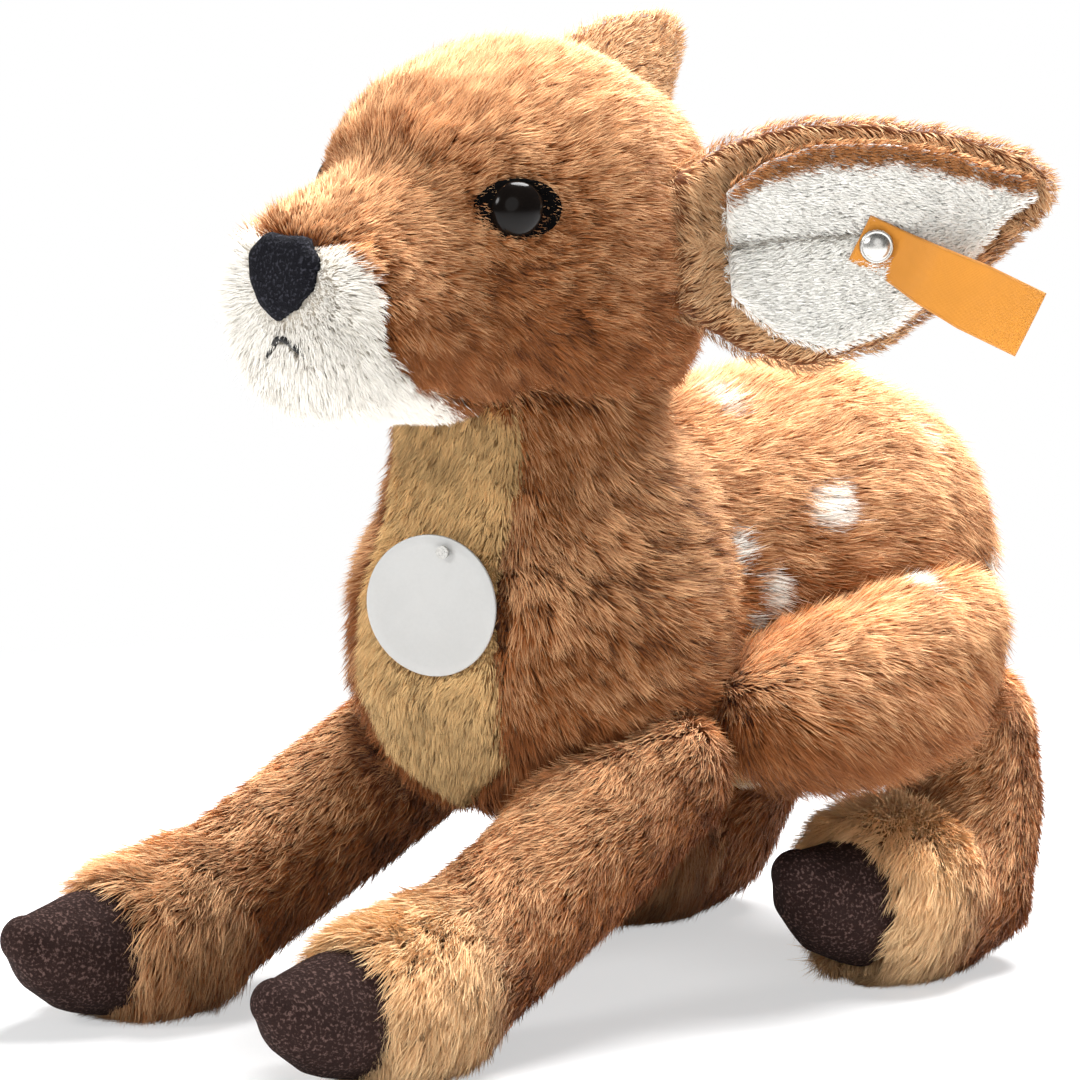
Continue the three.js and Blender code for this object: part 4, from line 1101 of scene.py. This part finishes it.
class FAWN_OT_ear_label(bpy.types.Operator):
    """Plain woven label that hangs from the ear button."""

    bl_idname = new_operator("ear_label")
    bl_label = "Ear label"
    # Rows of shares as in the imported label: place along it, width, rise.
    rows = ((-0.1, 0.72, 0), (0.1, 0.74, 0), (0.3, 0.88, 0.75), (0.55, 1, 0.95), (0.9, 1, 1))

    def execute(self, context):
        seat = frame_of(*LABEL)
        shape = bmesh.new()
        made = bmesh.ops.create_grid(shape, x_segments=44, y_segments=16, size=0.5)
        weave = shape.loops.layers.uv.new("weave")
        for face in shape.faces:
            for loop in face.loops:
                loop[weave].uv = (loop.vert.co.x + 0.5, loop.vert.co.y + 0.5)
        for vert in made["verts"]:
            share = vert.co.x + 0.4
            reaches, widths, rises = zip(*self.rows)
            width, rise = np.interp(share, reaches, widths), np.interp(share, reaches, rises)
            curl = 0.5 * math.sin(share * 5) * (2 * vert.co.y) ** 2
            high = 0.4 + rise * LABEL_RISE + curl
            vert.co = seat @ Vector((share * LABEL_LONG, vert.co.y * width * LABEL_WIDE, high))
        label = piece_from("woven_label", shape)
        cloth = label.modifiers.new("cloth", "SOLIDIFY")
        cloth.thickness, cloth.offset = LABEL_THICK * MM, 0
        cloth.use_even_offset = True
        stands_for(finished(applied(label), self.weave()), "ear_label", ["ear_label"])
        return {"FINISHED"}

    def weave(self):
        """Satin weave: fine crossing threads with a selvedge along both long sides."""
        finish = Finish("label_weave", 0.62, Sheen_Weight=0.3)
        parts = finish.node("SeparateXYZ", {"Vector": finish.node("UVMap", uv_map="weave")["UV"]})
        warp = finish.maths("SINE", parts["X"] * (2 * math.pi * 110), 0)
        weft = finish.maths("SINE", parts["Y"] * (2 * math.pi * 46), 0)
        cross = (warp * weft * 0.5 + 0.5).clipped()
        edge = finish.maths("ABSOLUTE", parts["Y"] - 0.5, 0)
        selvedge = edge.step(0.455, 0.47)
        cloud = finish.noise(0.006, 2)
        tint = colours().label
        warm = finish.mix((cross * 0.5 + cloud * 0.5).clipped(), deeper(tint, 0.78), tint)
        finish.set(Base_Color=finish.mix(selvedge * 0.5, warm, deeper(tint, 0.7)))
        return finish.bump(cross + selvedge, 0.00012).material


class FAWN_OT_chest_tag(bpy.types.Operator):
    """Plain round card on a pin."""

    bl_idname = new_operator("chest_tag")
    bl_label = "Chest tag"

    def execute(self, context):
        card = Finish("card", 0.42, Coat_Weight=0.25, Coat_Roughness=0.3)
        tint = colours().card
        fibre = card.speckled(deeper(tint, 0.94), tint, (0.0009, 4), (0.012, 2), 0.4, 0.3, 0.7)
        card.bump(fibre, 0.00002)
        seat = frame_of(*TAG, turned=False)
        shape = bmesh.new()
        bmesh.ops.create_circle(shape, cap_ends=True, segments=128, radius=CARD_RADIUS)
        rim = bmesh.ops.inset_region(shape, faces=shape.faces[:], thickness=CARD_RIM)["faces"]
        bmesh.ops.poke(shape, faces=[face for face in shape.faces if face not in rim])
        spokes = [edge for edge in shape.edges if edge.calc_length() > 8]
        bmesh.ops.subdivide_edges(shape, edges=spokes, cuts=6, use_grid_fill=True)
        for vert in shape.verts:
            vert.co.z += CARD_CURL * (vert.co.x / CARD_RADIUS) ** 2 + 0.05
        bmesh.ops.transform(shape, matrix=seat, verts=shape.verts)
        disc = piece_from("card_disc", shape)
        board = disc.modifiers.new("board", "SOLIDIFY")
        board.thickness, board.offset = CARD_THICK * MM, 0
        edge = disc.modifiers.new("edge", "BEVEL")
        edge.width, edge.segments, edge.limit_method = CARD_EDGE * MM, 2, "ANGLE"
        stands_for(finished(applied(disc), card.material), "chest_tag", ["chest_tag"])
        return {"FINISHED"}


def coat(name):
    """The brown pile's finish."""
    tint = colours()
    return pile_finish(name, tint.root, tint.fur, tint.tip, tint.spot_root, tint.spot, tint.shade)


def skins(*names):
    """Search trees of skins, each with the reach in millimetres at which it covers what lies under it."""
    return [(tree_of(bpy.data.objects[name]), reach * MM) for name, reach in names]


class FAWN_OT_body_pile(bpy.types.Operator):
    """Pile of the body, the thighs, the bib, the belly and the tail."""

    bl_idname = new_operator("body_pile")
    bl_label = "Body pile"

    def dusk(self, points):
        """Painted shade: darker flanks behind the front legs."""
        share, spot, radii = FLANK_PAINTED_SHADE
        mirrored = np.abs(points[:, :1]) * (1, 0, 0) + points * (0, 1, 1)
        return share * near_to(mirrored, spot, radii)

    def comb(self, points, normals):
        """Back along the body, down its sides and over the rump."""
        x, y, z = points.T
        rump = ramp(y, 70, 120)
        neck = ramp(z, 110, 145) * ramp(y, 30, 5)
        chest = ramp(y, 10, -20)
        down = 0.35 + 0.9 * rump + 0.8 * chest + 0.5 * neck
        return np.stack([0.35 * np.sign(x) * chest, 1 - 0.8 * rump - 0.5 * chest, -down], 1)

    def execute(self, context):
        size, tint = sizes(), colours()
        brown = coat("body_pile_finish")
        cream = pile_finish(
            "cream_pile_finish", tint.bib_root, tint.bib, tint.bib, tint.spot_root, tint.spot, tint.shade
        )
        long, short = size.body_pile / MM, size.bib_pile / MM
        under_tag = kept_short(long, TAG[0], *TAG_CLEARING["body"])
        legs = [(f"{pair}_leg_{word}_skin", 2) for pair, word in itertools.product(("front", "hind"), SIDES)]
        thighs = [(f"thigh_{word}_skin", 5) for word in SIDES]
        over = skins(("bib_skin", 5), ("belly_skin", 4), *thighs, ("head_skin", 2), *legs)
        grown = [
            pile_on(
                f"body_pile_{word}", "body_skin", "body", under_tag, self.comb, brown, word, k, over,
                density=quarter(word, BODY_SPLIT), pale=spots, dark=self.dusk,
            )
            for k, word in enumerate(PILES["body"]["blades"])
        ]
        grown += [self.thigh(word, long, brown) for word in SIDES]
        bib = pile_on(
            "bib_pile", "bib_skin", "bib", kept_short(short, TAG[0], *TAG_CLEARING["bib"]),
            towards(0, -0.1, -1), cream, density=outward_of(BIB_MIDDLE, 0.15),
        )
        belly = pile_on(
            "belly_pile", "belly_skin", "belly", short, towards(0, 1, -0.2), cream,
            density=outward_of(BELLY_MIDDLE, 0.15), pale=lambda points: ramp(points[:, 1], 50, 70),
        )
        tail = pile_on(
            "tail_pile", "tail_skin", "tail", long, towards(0, 0.5, -0.9), brown,
            hidden=skins(("body_skin", 0.5)), pale=lambda points: ramp(points[:, 2], 101.6, 75.6),
        )
        laid(grown, "torso")
        laid([bib, belly], "torso")
        laid([tail], "tail")
        return {"FINISHED"}

    def thigh(self, word, long, brown):
        """Pile of a thigh, short along its front edge and longest low down."""
        front = (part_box(f"thigh_{word}_cover")[0][1] - MIDDLE[1]) / MM

        def fringe(points):
            tall = long + THIGH_FRINGE * ramp(points[:, 2], 80, 66)
            return tall * ramp(points[:, 1], front - 13.5, front + 16.5)

        def comb(points, normals):
            back = 0.75 - 0.2 * (points[:, 1] > 85)
            return np.stack([0.5 * np.sign(points[:, 0]), back, 0.5 * normals[:, 2].clip(0, 1) - 0.8], 1)

        over = skins(("body_skin", 4), (f"hind_leg_{word}_skin", 1.5))
        name = f"thigh_{word}"
        return pile_on(
            name + "_pile", name + "_skin", "thigh", fringe, comb, brown, word, SIDES[word], over, pale=spots
        )


class FAWN_OT_head_pile(bpy.types.Operator):
    """Pile of the head and the muzzle, laid back from the nose."""

    bl_idname = new_operator("head_pile")
    bl_label = "Head pile"

    def comb(self, points, normals):
        """Back from the nose, down the cheeks and the nape."""
        way = unit(points - np.array(head_point(*PARTING)))
        way[:, 2] -= 0.25 + 0.9 * ramp(points[:, 1], 5, 35)
        return way

    def length(self, points):
        """Short round the eyes and on the bridge of the nose, longest on the cheeks."""
        x, y, z = points.T
        tall = np.full(len(points), sizes().head_pile / MM)
        for side, least in ((1, 0.6), (-1, 0.85)):
            tall *= least + (1 - least) * ramp(distance(points, eye_place(side)), 8, 20)
        far_side = ramp(x, 0, -6)
        near = ramp(distance(points, head_point(*NOSE)), 38, 12)
        tall *= 1 - 0.5 * near * (1 - 1.6 * far_side)
        tall *= 1 - 0.3 * far_side * ramp(z, 190, 198) * ramp(y, -36, -46)
        return tall + JAW_FRINGE * ramp(z, 172, 158)

    def dusk(self, points):
        """Darker cheeks, and dark round the eyes."""
        dark = np.zeros(len(points))
        for side, (share, (x, y, z), radii) in itertools.product(SIDES.values(), (CHEEK_DUSK, EYE_DUSK)):
            dark = np.maximum(dark, share * near_to(points, head_point(side * x, y, z), radii))
        return dark * (0.8 + 0.4 * waves(points, 13, 2.0))

    def execute(self, context):
        brown = coat("head_pile_finish")
        felts = [(f"eye_{word}_felt", 1) for word in SIDES]
        ears = [(f"ear_{word}_skin", 1) for word in SIDES]
        over = skins(("muzzle_skin", 4), ("nose_tip", 4), *felts, *ears)
        grown = [
            pile_on(
                f"head_pile_{word}", "head_skin", "head", self.length, self.comb, brown, word, k, over,
                density=quarter(word, HEAD_SPLIT), pale=jaw_white, dark=self.dusk,
            )
            for k, word in enumerate(PILES["head"]["blades"])
        ]
        nose = np.array(head_point(*NOSE))
        short = kept_short(sizes().muzzle_pile / MM, nose, 0.35, 10, 17)
        muzzle = pile_on(
            "muzzle_pile", "muzzle_skin", "muzzle",
            lambda points: short(points) + FAR_FRINGE * ramp(points[:, 0], -2.4, -10.4),
            lambda points, normals: unit(points - nose) + np.array((0, 0, -0.1)),
            brown, hidden=skins(("nose_tip", 1.5), ("mouth_thread", 3)),
            density=outward_of(head_point(*MUZZLE_MIDDLE), 0.1), pale=jaw_white,
        )
        laid(grown, "head")
        laid([muzzle], "head")
        return {"FINISHED"}


class FAWN_OT_ear_pile(bpy.types.Operator):
    """Pile on the backs of the ears and the short nap of their linings."""

    bl_idname = new_operator("ear_pile")
    bl_label = "Ear pile"

    def execute(self, context):
        size, tint = sizes(), colours()
        # The lining's shade colour is painted shade in its crease.
        middle, gold, shade = linear(186, 122, 68), linear(246, 212, 166), linear(176, 166, 150)
        root = deeper(tint.fur, 0.7)
        brown = pile_finish("ear_pile_finish", root, middle, tint.tip, middle, gold, tint.shade)
        nap = pile_finish("lining_nap_finish", tint.fur, middle, tint.tip, tint.lining, tint.lining, shade)
        for k, word in enumerate(SIDES):
            seat = frame_of(*EARS[word])
            along, up, front = (np.array(seat.to_3x3().col[axis].normalized()) for axis in range(3))
            lining = f"ear_{word}_nap"

            def comb(points, normals):
                """Along the ear, and over the lining from its rim."""
                over = np.where(self.on_ear(points, seat)[1] > 0, -1.0, 0.5) * ((normals @ front) > -0.3)
                return along + over[:, None] * up + 0.3 * front

            back = pile_on(
                f"ear_{word}_pile", f"ear_{word}_skin", "ear", size.ear_pile / MM, comb, brown, word, k,
                skins((lining, 1.5), ("head_skin", 0.2)), pale=lambda points: np.full(len(points), 0.45),
            )
            short = pile_on(
                f"ear_{word}_lining_nap", lining, "lining", size.lining_pile / MM, towards(*along), nap,
                word, k, density=lambda points, normals: (normals @ front) > 0.05,
                pale=self.inside(lining, seat), dark=lambda points: self.painted_crease_shade(points, seat),
            )
            laid([back], f"ear_{word}")
            laid([short], f"ear_{word}")
        return {"FINISHED"}

    def inside(self, lining, seat):
        """How far a place on a lining is from the brown border along its upper edge."""
        reach, high, _ = self.on_ear(toy_places(bpy.data.objects[lining].data), seat)
        bands = np.arange(0, 84, 4)
        tops = [high[np.abs(reach - band) < 4].max(initial=0) for band in bands]

        def pale(points):
            reach, high, _ = self.on_ear(points, seat)
            return ramp(np.interp(reach, bands, tops) - high + waves(points, 7), 4.5, 6)

        return pale

    def on_ear(self, points, seat):
        """Toy places as places along, up and in front of an ear."""
        back = np.array(seat.inverted())
        return ((points * MM + np.array(MIDDLE)) @ back[:3, :3].T + back[:3, 3]).T

    def painted_crease_shade(self, points, seat):
        """Painted shade in the fold of a lining."""
        reach, high, _ = self.on_ear(points, seat)
        return np.exp(-(((high - crease_height(reach)) / 1.5) ** 2)) * ramp(reach, 64, 38)


class FAWN_OT_leg_pile(bpy.types.Operator):
    """Pile on the legs, short at the seams and long on the feet, where it stands round the hooves."""

    bl_idname = new_operator("leg_pile")
    bl_label = "Leg pile"
    # How far from the hoof a foot's long pile reaches, and how gold the feet of each side are; the right
    # feet, on the far side, are less gold as painted shade.
    reach = {"front": 46, "hind": 34}
    gold = {"left": 0.7, "right": 0.3}

    def execute(self, context):
        tint = colours()
        root = deeper(tint.fur, 0.6)
        finish = pile_finish("leg_pile_finish", root, tint.fur, tint.tip, tint.fur, tint.foot_tip, tint.shade)
        for k, (pair, word) in enumerate(itertools.product(("front", "hind"), SIDES)):
            leg = f"{pair}_leg_{word}"
            toe = toe_of(leg)

            def foot(points):
                """1 near the hoof, 0 up the leg."""
                far = np.linalg.norm((points - toe) * (1, 1, 0.8), axis=1)
                return ramp(far, self.reach[pair] + 12, self.reach[pair] - 6)

            over = skins(
                ("body_skin", 4.5), (f"thigh_{word}_skin", 3.5), (f"{leg}_velour", 1.5), ("belly_skin", 1)
            )
            for part in ("foot", "shank"):
                grown = pile_on(
                    f"{leg}_{part}_pile", f"{leg}_skin", part, lambda points: self.length(foot(points)),
                    lambda points, normals: self.comb(points, normals, toe, foot(points)[:, None]),
                    finish, word, 4 * k, over,
                    density=lambda points, normals: (foot(points) > 0.5) == (part == "foot"),
                    pale=lambda points: self.gold[word] * foot(points),
                )
                bend_at_seam(grown)
        return {"FINISHED"}

    def length(self, share):
        """Leg pile that grows to foot pile."""
        return (sizes().leg_pile * (1 - share) + sizes().foot_pile * share) / MM

    def comb(self, points, normals, toe, share):
        """Down the leg to the hoof, spreading round the foot, and down where the leg faces away from it."""
        ahead = unit(toe - points)
        behind = np.clip(-(ahead * normals).sum(1, keepdims=True) - 0.1, 0, 1)
        ahead = ahead + np.array((1.2 * np.sign(toe[0]), 0.3, -0.4)) * behind
        spread = unit((points - toe) * (1, 0.2, 1))
        return ahead * (1 - 0.5 * share) + spread * 0.75 * share + np.array((0, -0.35, -0.45))


class FAWN_OT_inner_parts(bpy.types.Operator):
    """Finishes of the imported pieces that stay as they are: pin and washers."""

    bl_idname = new_operator("inner_parts")
    bl_label = "Inner parts"

    def execute(self, context):
        tint = colours().nickel
        metal = grained(
            "pin_metal", tint, deeper(tint, 0.7), period=0.0004, depth=0.00003, roughness=0.3, Metallic=1.0
        )
        light, dim = linear(236, 236, 232), linear(214, 214, 208)
        moulding = grained("washer_plastic", light, dim, period=0.0008, depth=0.00004, roughness=0.45)
        kept = {"tag_pin": metal, "ear_button_washer": metal}
        kept |= {f"eye_washer_{word}": moulding for word in SIDES}
        for node, material in kept.items():
            for slot in frame["nodes"][node].material_slots:
                slot.material = material
        return {"FINISHED"}


OPERATORS = (
    FAWN_OT_stage,
    FAWN_OT_body,
    FAWN_OT_head,
    FAWN_OT_ears,
    FAWN_OT_legs,
    FAWN_OT_hooves,
    FAWN_OT_eyes,
    FAWN_OT_nose,
    FAWN_OT_ear_button,
    FAWN_OT_ear_label,
    FAWN_OT_chest_tag,
    FAWN_OT_body_pile,
    FAWN_OT_head_pile,
    FAWN_OT_ear_pile,
    FAWN_OT_leg_pile,
    FAWN_OT_inner_parts,
)


class FAWN_PT_panel(bpy.types.Panel):
    """Sizes, colours and steps of the fawn."""

    bl_idname = "FAWN_PT_panel"
    bl_label = "Plush fawn"
    bl_space_type = "VIEW_3D"
    bl_region_type = "UI"
    bl_category = "Fawn"

    def draw(self, context):
        for group in (context.scene.fawn_sizes, context.scene.fawn_colours):
            box = self.layout.box()
            for field in group.bl_rna.properties:
                if not field.is_readonly and field.identifier != "name":
                    box.prop(group, field.identifier)
        for kind in OPERATORS:
            self.layout.operator(kind.bl_idname)


CLASSES = (FawnSizes, FawnColours, *OPERATORS, FAWN_PT_panel)


def register():
    """Adds the classes and the scene's settings."""
    for kind in CLASSES:
        bpy.utils.register_class(kind)
    bpy.types.Scene.fawn_sizes = PointerProperty(type=FawnSizes)
    bpy.types.Scene.fawn_colours = PointerProperty(type=FawnColours)


def unregister():
    """Takes them away again."""
    del bpy.types.Scene.fawn_colours, bpy.types.Scene.fawn_sizes
    for kind in reversed(CLASSES):
        bpy.utils.unregister_class(kind)


def main():
    """Makes every piece in order."""
    register()
    for kind in OPERATORS:
        getattr(bpy.ops.fawn, kind.bl_idname.split(".")[1])()


if __name__ == "__main__":
    main()
